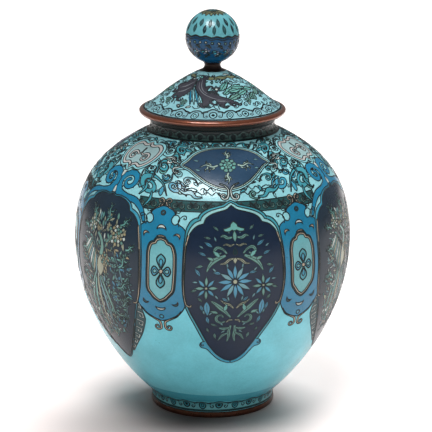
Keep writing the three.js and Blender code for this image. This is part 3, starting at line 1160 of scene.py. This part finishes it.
SHOULDER_SCROLLS = [
    # degrees from the flower panel's axis, height, radius, colour, turns, flipped, first angle, tail
    (40.5, 101, 3.3, "teal", 1.5, False, 95, [(-6.5, -3.6), (-5.4, 1.6), (-2.4, 3.9)]),
    (27.6, 101.6, 2.4, "azure", 1.3, True, 60, [(4.4, -3.8), (3.6, 1)]),
    (26.6, 107.2, 1.7, "pale", 1.2, False, 100, [(-7.5, -2.2), (-3, 1.8)]),
    (29.4, 112.2, 1.6, "pale", 1.2, True, 20, [(4.6, 3.2), (3, -0.6)]),
    (36.6, 109.6, 2.2, "teal", 1.35, False, 110, [(-3.8, -3.2), (-3.6, 1.4)]),
    (41.5, 116.6, 2.7, "pale", 1.4, True, 70, [(5.4, -4.4), (4, 1.2)]),
    (30.5, 117.4, 2.1, "teal", 1.3, False, 100, [(-6, -0.4), (-3.4, 2.4)]),
    (47.4, 112.4, 1.6, "pale", 1.2, True, 30, [(1.6, -6.2), (3.4, -1.4)]),
    (51.5, 119.4, 1.6, "pale", 1.2, False, 110, [(-3.8, -2.8), (-2.8, 0.8)]),
    (18, 120.4, 1.4, "teal", 1.2, True, 60, [(4.4, 0.4), (2.6, 1.4)]),
    (6.5, 121.2, 1.3, "teal", 1.2, False, 110, [(-2.8, -0.6), (-2, 1)]),
    (33.6, 105.2, 1.4, "azure", 1.1, True, 40, [(3.6, 2.2), (2.2, 0)]),
    (21, 104, 1.3, "teal", 1.2, False, 100, [(-3.6, -1.4), (-2.4, 1)]),
    (23, 114.6, 1.4, "teal", 1.2, True, 80, [(3.8, -1.4), (2.6, 1)]),
    (24.5, 119.6, 1.3, "pale", 1.2, False, 90, [(-3.4, -1), (-2.2, 1.2)]),
    (36, 121.2, 1.3, "teal", 1.2, True, 80, [(4, -0.4), (2.4, 1.2)]),
    (45, 107.6, 1.5, "teal", 1.2, False, 60, [(-1.6, -3.4), (-2.6, 0.4)]),
]
SHOULDER_LEAVES = [
    # degrees, height, turn, length, width, bend, colour
    (20.5, 98.2, -30, 5.4, 1.8, 1.2, "azure"), (33.4, 97.2, 15, 4.8, 1.9, -1, "azure"),
    (45.6, 105, 40, 4.6, 1.8, 1, "teal"), (22, 117, -72, 5.4, 1.8, 0.8, "teal"),
    (34.8, 113.6, 70, 4.2, 1.8, 0.8, "teal"), (53.8, 114.6, 10, 4.6, 1.7, 0.8, "pale"),
    (31.5, 108.6, 30, 3.8, 1.7, 0.6, "teal"), (24.6, 110.4, -100, 3.6, 1.6, 0.5, "teal"),
    (27, 114.8, -20, 3.4, 1.5, 0.4, "pale"), (39, 105.4, -60, 3.8, 1.6, 0.6, "teal"),
    (50.5, 109, 20, 3.8, 1.6, 0.5, "pale"), (15.5, 100.4, -75, 4, 1.4, 0.6, "pale"),
]


def shoulder_half(spot):
    """The scrolls between a flower panel's axis and a foliage panel's axis; x runs away from the former."""
    def place(degrees, height, turn=0.0, flip=False):
        return spot.at(spot.design.across(math.radians(degrees), height), height, turn, flip)

    for degrees, height, turn, length, width, bend, colour in SHOULDER_LEAVES:
        place(degrees, height, turn).cell(frond(length, width, 3, bend), colour)
    for degrees, height, size, colour, turns, flip, start, tail in SHOULDER_SCROLLS:
        scroll(place(degrees, height, 0, flip), size * 1.12, colour, turns, tail, start)
    wavy = brush([(0, 0), (1.3, 2.2), (0.4, 4.4), (1.9, 6.6), (1.4, 9.2)], 0.4, 1.9, 0.5)
    place(12.8, 97.8, -62).cell(wavy, "teal")
    cloud = smooth([(0, 0), (1.5, 1.1), (3, -0.1), (4.6, 1.2), (6.4, 0), (8.2, 1.1), (9.6, 0.2)])
    for height, stretch in ((98.8, 1), (100.4, 0.75), (102.2, 0.5)):
        place(4.5, height).line(cloud * (stretch, 1))


def shoulder_ground(design):
    """Close small curls and leaves that fill the shoulder before its larger figures."""
    design.part = "shoulder"

    def filler(spot, source):
        if source.random() < 0.5:
            colour = source.choice(["teal", "azure", "mint"])
            scroll(spot, source.uniform(1.1, 1.5), colour, 1.15, [(-2.8, -1.4), (-2, 0.6)], 90, 0.85)
        else:
            length = source.uniform(2, 3.2)
            colour = source.choice(["teal", "pale", "pale", "mint"])
            spot.cell(leaf(length, length * 0.4, source.uniform(-0.7, 0.7), 4), colour, width=0.85)

    strewn(design, 97.6, 123, 4.1, 11, filler)


def lozenge(spot):
    """The dark pointed oval on the shoulder, with a blossom between four sprigs."""
    spot.design.part = "shoulder"
    half_top = [(0, 119.3), (4.4, 118.8), (8.6, 117.2), (12.4, 114.4), (14.4, 112.2), (16.6, 110.6)]
    half_low = [(16.6, 110.6), (14.2, 109.4), (11.4, 106.6), (8, 103.9), (4.2, 102.1), (0, 101.2)]
    outline = field(half_top, half_low) * (0.94, 1)
    for half in spot.halves():
        scroll(half.at(18.4, 108), 1.5, "fog", 1.2, [(-5, 0.6), (-2.2, 2)], 110, 0.7)
        other = half.at(18.4, 112.8).at(turn=180, flip=True)
        scroll(other, 1.3, "fog", 1.2, [(-4.6, 0.4), (-2, 1.9)], 110, 0.65)
    spot.cell(grown(outline, 1.3), "pale")
    spot.cell(grown(outline, 0.6), "fog_green", width=0.8)
    spot.cell(outline, "indigo")
    rosette(spot.at(0, 110.6), 2, ("sage", "moss", "mint"), 1.15)
    for x, height, turn in ((0, 113.9, 0), (-5, 110.6, 90), (5, 110.6, -90), (0, 107.4, 180)):
        branch(spot.at(x * 0.7, height, turn, flip=x < 0), 6.4 if x else 4.4, "fog_green", 3)
    for x in (-9.8, 9.8):
        for height in (112.6, 108.6):
            spot.at(x, height, 90 if x < 0 else -90).cell(leaf(2, 0.8, 0.4), "haze", width=0.55)
    for half in spot.halves():
        coil = spiral(1.5, 1.25, 0.2, 180) * (1, -1) + (2.1, 98.4)
        path = led([(3.6, 103.2), (1.6, 102.4), (0.45, 100.8), (0.5, 98.9)], coil)
        half.cell(stroke(path, 0.4, 0.8, 0.35), "fog")


def foliage_crown(spot):
    """Over the foliage panel: a pair of large blue volutes and a lobed cloud head."""
    spot.design.part = "shoulder"
    head = mirrored(smooth([
        (0, 119.6), (1.6, 118.2), (4.6, 118.8), (7.6, 116.8), (8.6, 112.8), (7.2, 109), (4.4, 107),
        (1.8, 107.8), (0, 105.8),
    ]))
    for half in spot.halves():
        scroll(half.at(11, 108.2, flip=True), 1.6, "pale", 1.3, [(2.2, -4.4), (2.8, -1)], 30)
        scroll(half.at(11.2, 116.2), 1.6, "pale", 1.3, [(-3.2, 2.8), (-2.6, 0.8)], 120)
        scroll(half.at(15.2, 112.2), 1.7, "fog", 1.3, [(-3.4, -2.4), (-3, 0.6)], 120)
        half.line(smooth([(11.5, 99.5), (13.8, 102.6), (12.6, 105.8)]))
        half.cell(brush([(12, 96.8), (13.6, 99.6), (12.6, 102.4)], 0.4, 1.3, 0.4), "teal")
        half.cell(brush([(15.6, 92.4), (17.4, 95.6), (16.6, 98.8)], 0.4, 1.3, 0.4), "teal")
        coil = spiral(4.5, 1.35, 0.14, 180) + (5.35, 100.9)
        stem = [(18.4, 87.2), (15.8, 91.2), (11.4, 94.4), (6.4, 95), (2.2, 96.6), (0.75, 100.2)]
        half.cell(stroke(led(stem, coil, 5), 1.2, 3.4, 0.9), "cobalt")
    spot.cell(smooth([(0, 98.6), (0.8, 96.4), (0, 93.8), (-0.8, 96.4)], 3, True), "fog", width=0.8)
    spot.cell(smooth([(0, 106.2), (0.9, 104.4), (0, 101.8), (-0.9, 104.4)], 3, True), "fog", width=0.8)
    spot.cell(grown(head, 1.1), "pale")
    spot.cell(head, "rose")
    spot.cell(grown(head, -1.2), "mist", width=0.9)
    for half in spot.halves():
        scroll(half.at(3.3, 111.7), 2.4, "rose", 1.4, [(-3.1, 4.6), (-3, 1.6)], 150, 1.05)


def scallops(design, azimuth, low, high, units, colour, inner, mark, weight=1.4):
    """A border of arches: a ringed dot between two volutes, then an upright oval, over and over."""
    pitch = design.span / units
    width = design.across(pitch, (low + high) / 2)
    rise = high - low
    wide, narrow = 0.31 * width, 0.19 * width
    arch = smooth([
        (-wide, 0.3 * rise), (-wide * 0.97, 0.66 * rise), (-wide * 0.5, 0.8 * rise), (0, rise),
        (wide * 0.5, 0.8 * rise), (wide * 0.97, 0.66 * rise), (wide, 0.3 * rise),
    ], 3)
    small = smooth([
        (-narrow, 0.3 * rise), (-narrow * 0.9, 0.66 * rise), (0, 0.86 * rise), (narrow * 0.9, 0.66 * rise),
        (narrow, 0.3 * rise),
    ], 3)
    oval = circle(1, steps=12)
    design.zone(low, low + 0.5 * rise, colour, width=0, start=azimuth)
    for i in range(units):
        spot = design.spot(azimuth + (i + 0.5) * pitch, low)
        between = spot.at(width / 2, 0)
        between.cell(small, colour, width=0)
        spot.cell(arch, colour, width=0)
        spot.line(arch[2:-2], weight)
        between.line(small[2:-2], weight)
        between.cell(oval * (0.1 * width, 0.32 * rise) + (0, 0.38 * rise), inner)
        between.line(oval[:-1] * (0.04 * width, 0.16 * rise) + (0, 0.38 * rise), 0.9, True)
        spot.cell(circle(0.29 * rise, 0, 0.42 * rise, 12), inner, width=1.2)
        spot.cell(circle(0.11 * rise, 0, 0.42 * rise, 8), mark, width=0.9)
        for half in spot.halves():
            side = half.at(0.2 * width, 0.3 * rise)
            curl(side, 0.2 * rise, 1.1, 20, [(-0.16 * rise, 0.42 * rise), (0.16 * rise, 0.36 * rise)])


def body_design(surface):
    """Borders at the foot and the neck, the shoulder's scrolls, and the panels and straps over them."""
    design = Design(surface, DRAWN_BODY, "turquoise", "foot")
    # Painted shade over the hollow just above the foot
    design.zone(5.2, 10.5, "deep", width=0)
    design.zone(0.3, 3, "bottle")
    scallops(design, SECTOR_START + math.radians(12), 0.9, 5.2, 4, "opal", "teal", "ink", 2)
    design.zone(86, 123.8, "pale", width=0)
    shoulder_ground(design)
    middle, far = design.spot(FLOWER_AXIS), design.spot(FLOWER_AXIS + HALF_REPEAT)
    for half in middle.halves():
        shoulder_half(half)
    frieze(design, FLOWER_AXIS)
    foliage_crown(far)
    lozenge(middle)
    for side in (STRAP_OFFSET, -STRAP_OFFSET):
        strap(design.spot(FLOWER_AXIS + side))
    flower_panel(middle)
    foliage_panel(far)
    design.part = "neck"
    # Painted shade: the neck band is drawn in darkened enamels for the shade under the lid's bead
    design.zone(123, 127.1, "neck_ground")
    scallops(design, SECTOR_START, 123.7, 126.8, 6, "neck_teal", "neck_ground", "ink", 0.8)
    return design


LID_PLUMES = [
    [(-15, 22.9), (-24, 22.4), (-32, 20.8), (-34, 17.6), (-28, 14.6), (-20, 12.4), (-14, 10.4), (-11, 8.6),
     (-13, 7), (-7, 6.5), (-3, 8), (-2, 9.7), (3, 9.5), (5.5, 8), (7, 6.4), (11.5, 6.1), (12.5, 7.8),
     (15, 8.5), (20, 7.7), (27, 8), (22, 9.6), (17, 10.7), (10, 11.7), (5, 12.8), (3, 14.9), (-1, 13.6),
     (-5, 13.3), (-9, 14.9), (-6, 16.6), (-10, 17.4), (-13, 16.4), (-17, 18.6), (-19, 20.6), (-14, 21.9)],
    [(-38, 20.8), (-46, 19.8), (-57, 17.2), (-66, 14.6), (-59, 13.6), (-64, 11.4), (-55, 11.8), (-57, 9.2),
     (-48, 10.4), (-46, 8.4), (-41, 10.4), (-36, 12.4), (-34, 15), (-36, 18)],
]


def lid_design(surface):
    """Swept plumes and foliage on light blue, over a scalloped border."""
    start = math.radians(-75)
    design = Design(surface, DRAWN_LID, "sky_ground", "lid", 2, start)

    def at(degrees, height, turn=0, flip=False):
        return design.spot(math.radians(degrees), height).at(turn=turn, flip=flip)

    def traced(places):
        return [(design.across(math.radians(degrees), height), height) for degrees, height in places]

    def filler(spot, source):
        if source.random() < 0.62:
            curl(spot, source.uniform(0.7, 1.05), 1.2, 90, [(-2, -1), (-1.4, 0.5)], 1)
        else:
            length = source.uniform(1.8, 2.8)
            colour = source.choice(["mint", "sage", "teal", "fog", "haze"])
            spot.cell(leaf(length, length * 0.42, source.uniform(-0.5, 0.5), 4), colour)

    strewn(design, 5.4, 24.2, 2.3, 5, filler)
    front = design.spot(0)
    for degrees, height, turn, length in (
        (16, 9.6, -62, 8.5), (14, 12.6, -50, 8), (12, 14.6, -30, 6), (22, 14, -80, 7.5), (30, 16.2, -95, 6.5),
        (34, 12, -70, 6.5), (48, 9, -60, 6.5), (52, 14, -85, 6), (66, 10, -50, 6), (84, 9, -60, 6.5),
        (78, 14.5, -90, 6), (94, 12, -70, 5),
    ):
        at(degrees, height, turn).cell(frond(length, 2.7, 4, 0.9), "mint" if height > 11 else "sage")
        at(degrees, height, turn).line(smooth([(0, 0.6), (0.1, length * 0.4), (0.6, length * 0.86)], 3), 0.8)
    for degrees, height, turn in ((-52, 7.2, 70), (-30, 7, 50), (40, 8, -60), (60, 8, 30), (100, 17, 20)):
        sprig(at(degrees, height, turn), 3.6, "sage", 3)
    for i in range(5):
        path = smooth(traced([(-38 + 4 * i, 15), (-30 + 4.5 * i, 11), (-24 + 4.5 * i, 7)]), 5)
        front.cell(stroke(path, 0.3, 0.95, 0.3), ("cobalt", "pale", "azure", "pale", "azure")[i], width=0.8)
    for degrees, length in ((24, 6), (40, 5), (4, 4), (70, 5), (-48, 4.6)):
        at(degrees, 21.4, 90).cell(frond(length, 2.2, 3, 0.6), "olive", width=0.9)
    for outline in LID_PLUMES:
        front.cell(smooth(traced(outline), 3, True), "plum")
    for places in (
        [(-29, 19), (-24, 15.6), (-14, 13), (-2, 11), (14, 9.4)],
        [(-26, 20.6), (-22, 17), (-16, 14.6), (-8, 12.8)],
        [(-40, 18.6), (-48, 15.6), (-57, 14.2)], [(-38, 15.6), (-46, 13), (-53, 12)],
        [(-1, 9.9), (8, 9.2), (18, 8.8)],
    ):
        front.cell(brush(traced(places), 0.12, 0.42, 0.12), "plum_light", width=0)
    for degrees, height, turn, flip in (
        (-46, 9, 10, False), (-56, 10.2, 0, False), (-13, 7.4, -20, False), (-3, 8.6, -10, False),
        (8, 7, -10, False), (17, 8, -10, False), (-63, 12.6, 10, False), (-12, 17, 150, True),
        (-6, 14.4, 150, True), (24, 8.4, -20, False), (-30, 20.6, 100, False), (-52, 18.4, 120, False),
    ):
        barb = smooth([(0, 0.6), (0.9, -0.7), (2.1, -0.9), (2.6, 0), (2.1, 0.4)])
        at(degrees, height, turn, flip).cell(stroke(barb, 0.9, 0.6, 0.15), "plum", width=0.7)
    flower(at(5.5, 15.6), 6, 1.6, 1, ("slate", "plum"), 0.6, "fog", 0.4)
    design.part = "lid_border"
    design.zone(0.2, 0.5, "slate")
    scallops(design, start, 0.5, 5.1, 6, "haze_ground", "sky_ground", "ink", 1.5)
    return design


def ball_design(surface):
    """Upright dashes over a wavy line, pale dots and small blossoms below it, and a blossom on top."""
    design = Design(surface, DRAWN_BALL, "lapis", "ball", cap="bottle")
    unit, top, start = design.unit, surface.length, SECTOR_START

    def ring(count, height, shift=0.5, other=0.0):
        """Evenly spaced spots round the ball, every second one at the other height."""
        for i in range(count):
            yield i % 2, design.spot(start + (i + shift) * SECTOR / count, height + other * (i % 2))

    turn = np.linspace(start, start + SECTOR, 60)
    wave = 13.2 + 0.3 * np.sin(15 * (turn - start)) + 0.2 * np.sin(3 * (turn - start))
    line = pairs(turn, wave * unit)
    design.cells.append((np.vstack([line, pairs(turn[::-1], top - 0.3)]), "jade"))
    design.wire(line, False, 1.9)
    design.wire(line - (0, 0.9 * unit), False, 1.0)
    for i in range(5):
        for row, (height, length) in enumerate(((14.3, 4), (17.2, 3.8))):
            spot = design.spot(start + (i + 0.5 * (row % 2)) * SECTOR / 5, height)
            spot.cell(leaf(length, 1.25, 0.05), "bottle" if (i + row) % 3 else "ink", width=0.6)
            spot.at(0.15, length * 0.35).cell(leaf(length * 0.4, 0.5), "slate", width=0)
    for odd, spot in ring(9, 10.9):
        spot.cell(circle(0.5, steps=9), "sage" if odd else "fog", width=1.2)
    for odd, spot in ring(5, 7.2, 0.3, -1.2):
        flower(spot, 5, 1.3, 1, ("lilac", "azure"), 0.4, "fog", 0.3)
        spot.at(1.9, -0.3, -60).cell(leaf(1.8, 0.8, 0.3), "teal")
        curl(spot.at(-1.9, 0.6), 0.6)
    for (odd, spot), (_, low) in zip(ring(10, 9.3, 0.5, -0.6), ring(10, 4.4, 0.2, 0.8)):
        spot.at(turn=55 if odd else -60).cell(leaf(2, 0.8, 0.3), "ink", width=0.9)
        low.at(turn=30 if odd else -35).cell(leaf(1.9, 0.8, 0.3), "ink", width=0.9)
    for odd, spot in ring(6, 22.6):
        spot.cell(petal(3.6, 1.9), "bronze_green" if odd else "olive")
    turn = np.linspace(start, start + SECTOR, 12)
    design.cells.append((np.vstack([pairs(turn, top - 1.1 * unit), pairs(turn[::-1], top)]), "bottle"))
    return design


# Settings

def tone(name, description, red, green, blue):
    return bpy.props.FloatVectorProperty(
        name=name, description=description, subtype="COLOR", size=3, min=0.0, max=1.0,
        default=srgb(red, green, blue))


def number(name, description, default, **limits):
    return bpy.props.FloatProperty(name=name, description=description, default=default, **limits)


def share(name, description, default, low=0.0):
    return number(name, description, default, min=low, max=1.0, subtype="FACTOR")


def watts(name, description, default):
    return number(name, description, default, min=0.0, unit="POWER")


def distance(name, description, default, low, **limits):
    return number(name, description, default, min=low, unit="LENGTH", **limits)


class JAR_PG_enamels(bpy.types.PropertyGroup):
    """Colours of the enamels."""

    turquoise: tone("Turquoise", "Plain ground of the lower body", 98, 178, 191)
    # Painted shade: a darker turquoise for the hollow above the foot, standing in for the shade there
    deep: tone("Deep turquoise", "Ground in the hollow above the foot", 64, 146, 162)
    pale: tone("Pale turquoise", "Ground of the shoulder and rings of the cloud heads", 122, 177, 184)
    opal: tone("Opal", "Medallions of the straps", 88, 148, 154)
    teal: tone("Teal", "Fill of the shoulder scrolls", 56, 130, 142)
    azure: tone("Azure", "Borders and small scrolls", 52, 130, 154)
    cobalt: tone("Cobalt", "Ground of the straps and the large volutes", 20, 106, 138)
    navy: tone("Navy", "Ground of the flower panels", 16, 31, 50)
    indigo_grey: tone("Grey indigo", "Ground of the foliage panels", 28, 42, 54)
    indigo: tone("Indigo", "Ground of the shoulder ovals", 34, 58, 80)
    slate: tone("Slate", "Ground of the borders", 52, 76, 80)
    bottle: tone("Bottle green", "Ground of the frieze", 32, 68, 70)
    # Painted shade: the neck's enamels are toned near black for the shade under the lid's bead
    neck_ground: tone("Neck green", "Ground of the neck", 14, 29, 31)
    neck_teal: tone("Dark teal", "Arches round the neck", 46, 70, 68)
    moss: tone("Moss green", "Scrolls of the frieze", 88, 130, 124)
    sage: tone("Sage", "Pale green leaves", 86, 130, 122)
    mint: tone("Mint", "Light green sprigs", 88, 144, 138)
    haze: tone("Haze", "Grey-blue leaves", 88, 130, 138)
    sky: tone("Sky", "Blue petals", 60, 122, 148)
    sand: tone("Sand", "Warm pale petals", 138, 142, 122)
    ochre: tone("Ochre", "Warm blossoms", 140, 132, 104)
    fog_green: tone("Grey green", "Branches and rings of the shoulder ovals", 138, 162, 154)
    mist: tone("Mist", "Linings of the cloud heads", 128, 156, 158)
    cream: tone("Cream", "Light band over the flower panels", 124, 172, 174)
    tan: tone("Tan", "Strips beside the panels and medallions", 158, 146, 128)
    rose: tone("Rose grey", "Cloud heads on the shoulder", 160, 160, 158)
    fog: tone("Fog", "Pale grey dots and linings", 170, 182, 178)
    ink: tone("Ink", "Darkest small marks", 16, 38, 44)
    plum: tone("Plum grey", "Plumes on the lid", 50, 50, 58)
    plum_light: tone("Light plum", "Lines in the plumes", 98, 102, 108)
    sky_ground: tone("Light blue", "Ground of the lid", 122, 171, 179)
    haze_ground: tone("Misty blue", "Arches round the lid", 110, 152, 160)
    olive: tone("Olive", "Leaves near the lid's crown", 98, 104, 78)
    lapis: tone("Lapis", "Lower half of the ball", 2, 56, 88)
    jade: tone("Jade blue", "Upper half of the ball", 80, 140, 148)
    lilac: tone("Lilac grey", "Small blossoms on the ball", 86, 96, 118)
    bronze_green: tone("Bronze green", "Blossom on top of the ball", 74, 76, 56)


class JAR_PG_metal(bpy.types.PropertyGroup):
    """Sizes and colours of the wires and rims."""

    wire_width: distance(
        "Wire width", "Width of the wires between the enamels", 0.42 * MM, 0.1 * MM, max=1 * MM, precision=5)
    wire_proud: distance(
        "Wire height", "How far the wires stand out of the enamel", 0.03 * MM, 0.0, max=0.3 * MM, precision=6)
    bead_share: share("Bead height", "Height of the lid's bead, as a share of its solid's", 0.76, 0.5)
    mouth_share: share(
        "Mouth ring width", "Width of the ring round the mouth, as a share of its solid's", 0.66, 0.6)
    wire_tone: tone("Wire", "Aged wire", 24, 34, 36)
    copper_dark: tone("Toned copper", "Bead of the lid where it is dark", 72, 40, 29)
    copper_bare: tone("Bare copper", "Bead of the lid where it is rubbed", 122, 68, 46)
    # Partly dark tarnish, partly painted shade under the lid's bead
    mouth_tone: tone("Mouth ring", "Nearly black ring round the mouth", 16, 20, 19)
    foot_dark: tone("Toned foot", "Foot ring where it is dark", 40, 27, 22)
    foot_bare: tone("Bare foot", "Foot ring where it is rubbed", 88, 54, 40)
    stem_tone: tone("Stem", "Nearly black stem of the finial", 30, 22, 20)


class JAR_PG_studio(bpy.types.PropertyGroup):
    """Lights, floor and camera."""

    enamel_clouding: share("Clouding", "How uneven the enamel colours are", 0.7)
    key_power: watts("Top light", "Power of the soft light over the front", 4.8)
    sheen_power: watts("Sheen", "Power of the light that only shows in the gloss", 2.6)
    broad_power: watts("Broad light", "Power of the wide soft light over the back", 26.0)
    fill_power: watts("Side lights", "Power of each soft light at the sides", 1.0)
    bounce_power: watts("Bounce light", "Power of the soft light thrown up in front of the jar", 4.9)
    sky_strength: number("Surround", "Brightness of the surround", 0.2, min=0.0)
    camera_distance: distance("Camera distance", "Level distance from the jar's axis", 0.75, 0.2)
    camera_height: distance("Camera height", "Height over the floor", 0.27075, 0.0)
    aim_height: distance("Aim height", "Height on the jar's axis that the camera looks at", 0.0719, 0.0)


def enamels():
    """Every enamel material by name, made once."""
    colours = bpy.context.scene.jar_enamels
    depth = bpy.context.scene.jar_studio.enamel_clouding
    return {
        name: bpy.data.materials.get(f"enamel_{name}")
        or enamel_finish(name, tuple(getattr(colours, name)), depth)
        for name in JAR_PG_enamels.__annotations__
    }


# Operators

class JAR_OT_body(bpy.types.Operator):
    """Makes the hollow enamelled body and its wires."""

    bl_idname = "jar.body"
    bl_label = "Body"

    def execute(self, context):
        dress("enamelled_body", "jar_body", body_design, 64)
        return {"FINISHED"}


class JAR_OT_lid(bpy.types.Operator):
    """Makes the hollow enamelled dome of the lid and its wires."""

    bl_idname = "jar.lid"
    bl_label = "Lid"

    def execute(self, context):
        dress("enamelled_lid", "lid", lid_design, 16, 0.9)
        return {"FINISHED"}


class JAR_OT_rims(bpy.types.Operator):
    """Makes the copper rings of the foot, the mouth and the lid."""

    bl_idname = "jar.rims"
    bl_label = "Copper rims"

    def execute(self, context):
        metal = context.scene.jar_metal
        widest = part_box("lid_rim")[1].x / MM
        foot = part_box("foot_rim")[1].x / MM
        bead, ring = section("lid_rim"), section("mouth_rim")
        base, seat, lid_foot = ring[:, 1].min(), ring[:, 1].max(), bead[:, 1].max()
        # The bead is drawn slimmer than its solid, from the lid down, and the mouth ring reaches up to it
        new_seat = lid_foot - (lid_foot - seat) * metal.bead_share
        above = bead[:, 1] > seat - 0.01
        bead[above, 1] = lid_foot - (lid_foot - bead[above, 1]) * metal.bead_share
        round_side = np.flatnonzero(bead[:, 0] > widest - BEAD_DEPTH)
        turn = np.linspace(-math.pi / 2, math.pi / 2, 13)
        half_height, depth = (lid_foot - new_seat) / 2, widest - bead[round_side[-1], 0]
        arc = pairs(
            widest - depth + depth * np.cos(turn), new_seat + half_height + half_height * np.sin(turn))
        bead = np.vstack([bead[:round_side[0]], arc, bead[round_side[-1] + 1:]])
        ring[:, 1] = base + (ring[:, 1] - base) * (new_seat - base) / (seat - base)
        bore = ring[:, 0].min()
        ring[:, 0] = bore + (ring[:, 0] - bore) * metal.mouth_share
        mouth = ring[:, 0].max()
        dark, bare, dark_tone = (tuple(t) for t in (metal.copper_dark, metal.copper_bare, metal.mouth_tone))
        copper = copper_finish("lid_rim_copper", dark, bare, widest - 1.3, widest + 0.3, gloss=0.75)
        turned_piece("copper_lid_rim", "lid_rim", copper, points=bead)
        # The mouth ring's near-black tone is partly tarnish and partly painted shade under the lid's bead
        copper = copper_finish("mouth_copper", dark_tone, scaled(dark_tone, 2.0), mouth - 0.2, mouth + 0.4)
        turned_piece("copper_mouth_rim", "mouth_rim", copper, points=ring)
        dark, bare = tuple(metal.foot_dark), tuple(metal.foot_bare)
        copper = copper_finish("foot_copper", dark, bare, foot - 0.35, foot + 0.15)
        turned_piece("copper_foot_rim", "foot_rim", copper)
        return {"FINISHED"}


class JAR_OT_finial(bpy.types.Operator):
    """Makes the stem and the enamelled ball on the lid."""

    bl_idname = "jar.finial"
    bl_label = "Finial"

    def execute(self, context):
        dark = tuple(context.scene.jar_metal.stem_tone)
        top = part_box("finial_stem")[1].z / MM
        bronze = copper_finish("stem_metal", dark, scaled(dark, 2.6), top - 2.4, top + 3.0, "height")
        turned_piece("finial_collar", "finial_stem", bronze, 72)
        dress("enamelled_ball", "finial_ball", ball_design, 22, 0.85, stop_radius=0.5)
        return {"FINISHED"}


def aim(item, place, target):
    """Puts a light or the camera in the scene, turned to a target."""
    item.location = place
    item.rotation_euler = (Vector(target) - Vector(place)).to_track_quat("-Z", "Y").to_euler()
    bpy.context.scene.collection.objects.link(item)


class JAR_OT_studio(bpy.types.Operator):
    """Makes the pale floor with a painted shadow round the foot, the soft lights and the camera."""

    bl_idname = "jar.studio"
    bl_label = "Studio"

    def execute(self, context):
        scene, studio = context.scene, context.scene.jar_studio
        corners = [(x * FLOOR_REACH, y * FLOOR_REACH, 0) for x, y in ((-1, -1), (1, -1), (1, 1), (-1, 1))]
        floor_mesh = bpy.data.meshes.new("studio_floor")
        floor_mesh.from_pydata(corners, [], [(0, 1, 2, 3)])
        floor = bpy.data.objects.new("studio_floor", floor_mesh)
        # White paper with a painted shadow round the foot: toned nearly black just in front of the foot, then
        # a warmer grey ring that fades into the white, where the soft lights leave the cast shadow too pale
        paper = Finish("floor_paper", Roughness=0.9, Specular_IOR_Level=0.1)
        white = paper.mix(paper.noise(0.6), (0.92, 0.87, 0.85), (0.96, 0.91, 0.89))
        flat = paper.vector("MULTIPLY_ADD", paper.place, (0.7, 1, 0), (0.007, 0.027, 0))
        away = paper.vector("LENGTH", flat, output="Value")
        # Painted shadow: the warmer grey outer ring round the foot
        beside = paper.mix(paper.step(away, 0.045, 0.12), (0.87, 0.78, 0.76), white)
        # Painted shadow: nearly black round and in front of the foot
        paper.feed(Base_Color=paper.mix(paper.step(away, -0.002, 0.042), (0.1, 0.086, 0.084), beside))
        floor_mesh.materials.append(paper.material)
        scene.collection.objects.link(floor)
        floor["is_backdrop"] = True
        scene.world = bpy.data.worlds.new("studio_white")
        scene.world.use_nodes = True
        surround = scene.world.node_tree.nodes["Background"].inputs
        surround["Color"].default_value = (1, 1, 1, 1)
        surround["Strength"].default_value = studio.sky_strength
        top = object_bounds()[1].z
        over, middle = ((-0.1, -0.27, top + 0.6), (0.4, 0.24)), (0, 0, top / 2)
        for name, energy, place, size, target in (
            ("top_light", studio.key_power, *over, middle),
            ("sheen_light", studio.sheen_power, *over, middle),
            ("broad_light", studio.broad_power, (0.35, 0.8, 1.2), (1.0, 1.0), (0, 0.5, 0)),
            ("left_light", studio.fill_power / 2, (-0.85, -0.75, 0.5), (0.8, 0.8), middle),
            ("right_light", studio.fill_power, (0.85, -0.75, 0.5), (0.8, 0.8), middle),
            ("bounce_light", studio.bounce_power, (0.04, -0.45, 0.01), (0.8, 0.5), (0.02, -0.15, 1.0)),
        ):
            data = bpy.data.lights.new(name, "AREA")
            data.shape = "RECTANGLE"
            data.size, data.size_y = size
            data.energy = energy
            lamp = bpy.data.objects.new(name, data)
            lamp.visible_glossy = name in ("top_light", "sheen_light")
            lamp.visible_diffuse = name != "sheen_light"
            lamp.visible_camera = False
            aim(lamp, place, target)
        data = bpy.data.cameras.new("photo_view")
        data.sensor_width = 36.0
        data.lens = FOCAL_PIXELS / PICTURE_WIDTH * data.sensor_width
        data.shift_x = (PICTURE_WIDTH / 2 - AXIS_COLUMN) / PICTURE_WIDTH
        data.clip_start, data.clip_end = 0.05, 20.0
        scene.camera = bpy.data.objects.new("photo_view", data)
        aim(scene.camera, (0, -studio.camera_distance, studio.camera_height), (0, 0, studio.aim_height))
        scene.view_settings.view_transform = "Standard"
        return {"FINISHED"}


class JAR_PT_panel(bpy.types.Panel):
    """Lists the jar's pieces and settings."""

    bl_idname = "JAR_PT_panel"
    bl_label = "Enamelled jar"
    bl_space_type = "VIEW_3D"
    bl_region_type = "UI"
    bl_category = "Enamelled jar"

    def draw(self, context):
        for operator in OPERATORS:
            self.layout.operator(operator.bl_idname)
        for group in (context.scene.jar_metal, context.scene.jar_studio, context.scene.jar_enamels):
            box = self.layout.box()
            for name in group.__annotations__:
                box.prop(group, name)


OPERATORS = (JAR_OT_body, JAR_OT_lid, JAR_OT_rims, JAR_OT_finial, JAR_OT_studio)
GROUPS = {"jar_enamels": JAR_PG_enamels, "jar_metal": JAR_PG_metal, "jar_studio": JAR_PG_studio}


def register():
    for group in (*GROUPS.values(), *OPERATORS, JAR_PT_panel):
        bpy.utils.register_class(group)
    for name, group in GROUPS.items():
        setattr(bpy.types.Scene, name, bpy.props.PointerProperty(type=group))


def unregister():
    for name in GROUPS:
        delattr(bpy.types.Scene, name)
    for group in (JAR_PT_panel, *reversed(OPERATORS), *GROUPS.values()):
        bpy.utils.unregister_class(group)


def main():
    register()
    bpy.ops.jar.body()
    bpy.ops.jar.lid()
    bpy.ops.jar.rims()
    bpy.ops.jar.finial()
    bpy.ops.jar.studio()


if __name__ == "__main__":
    main()
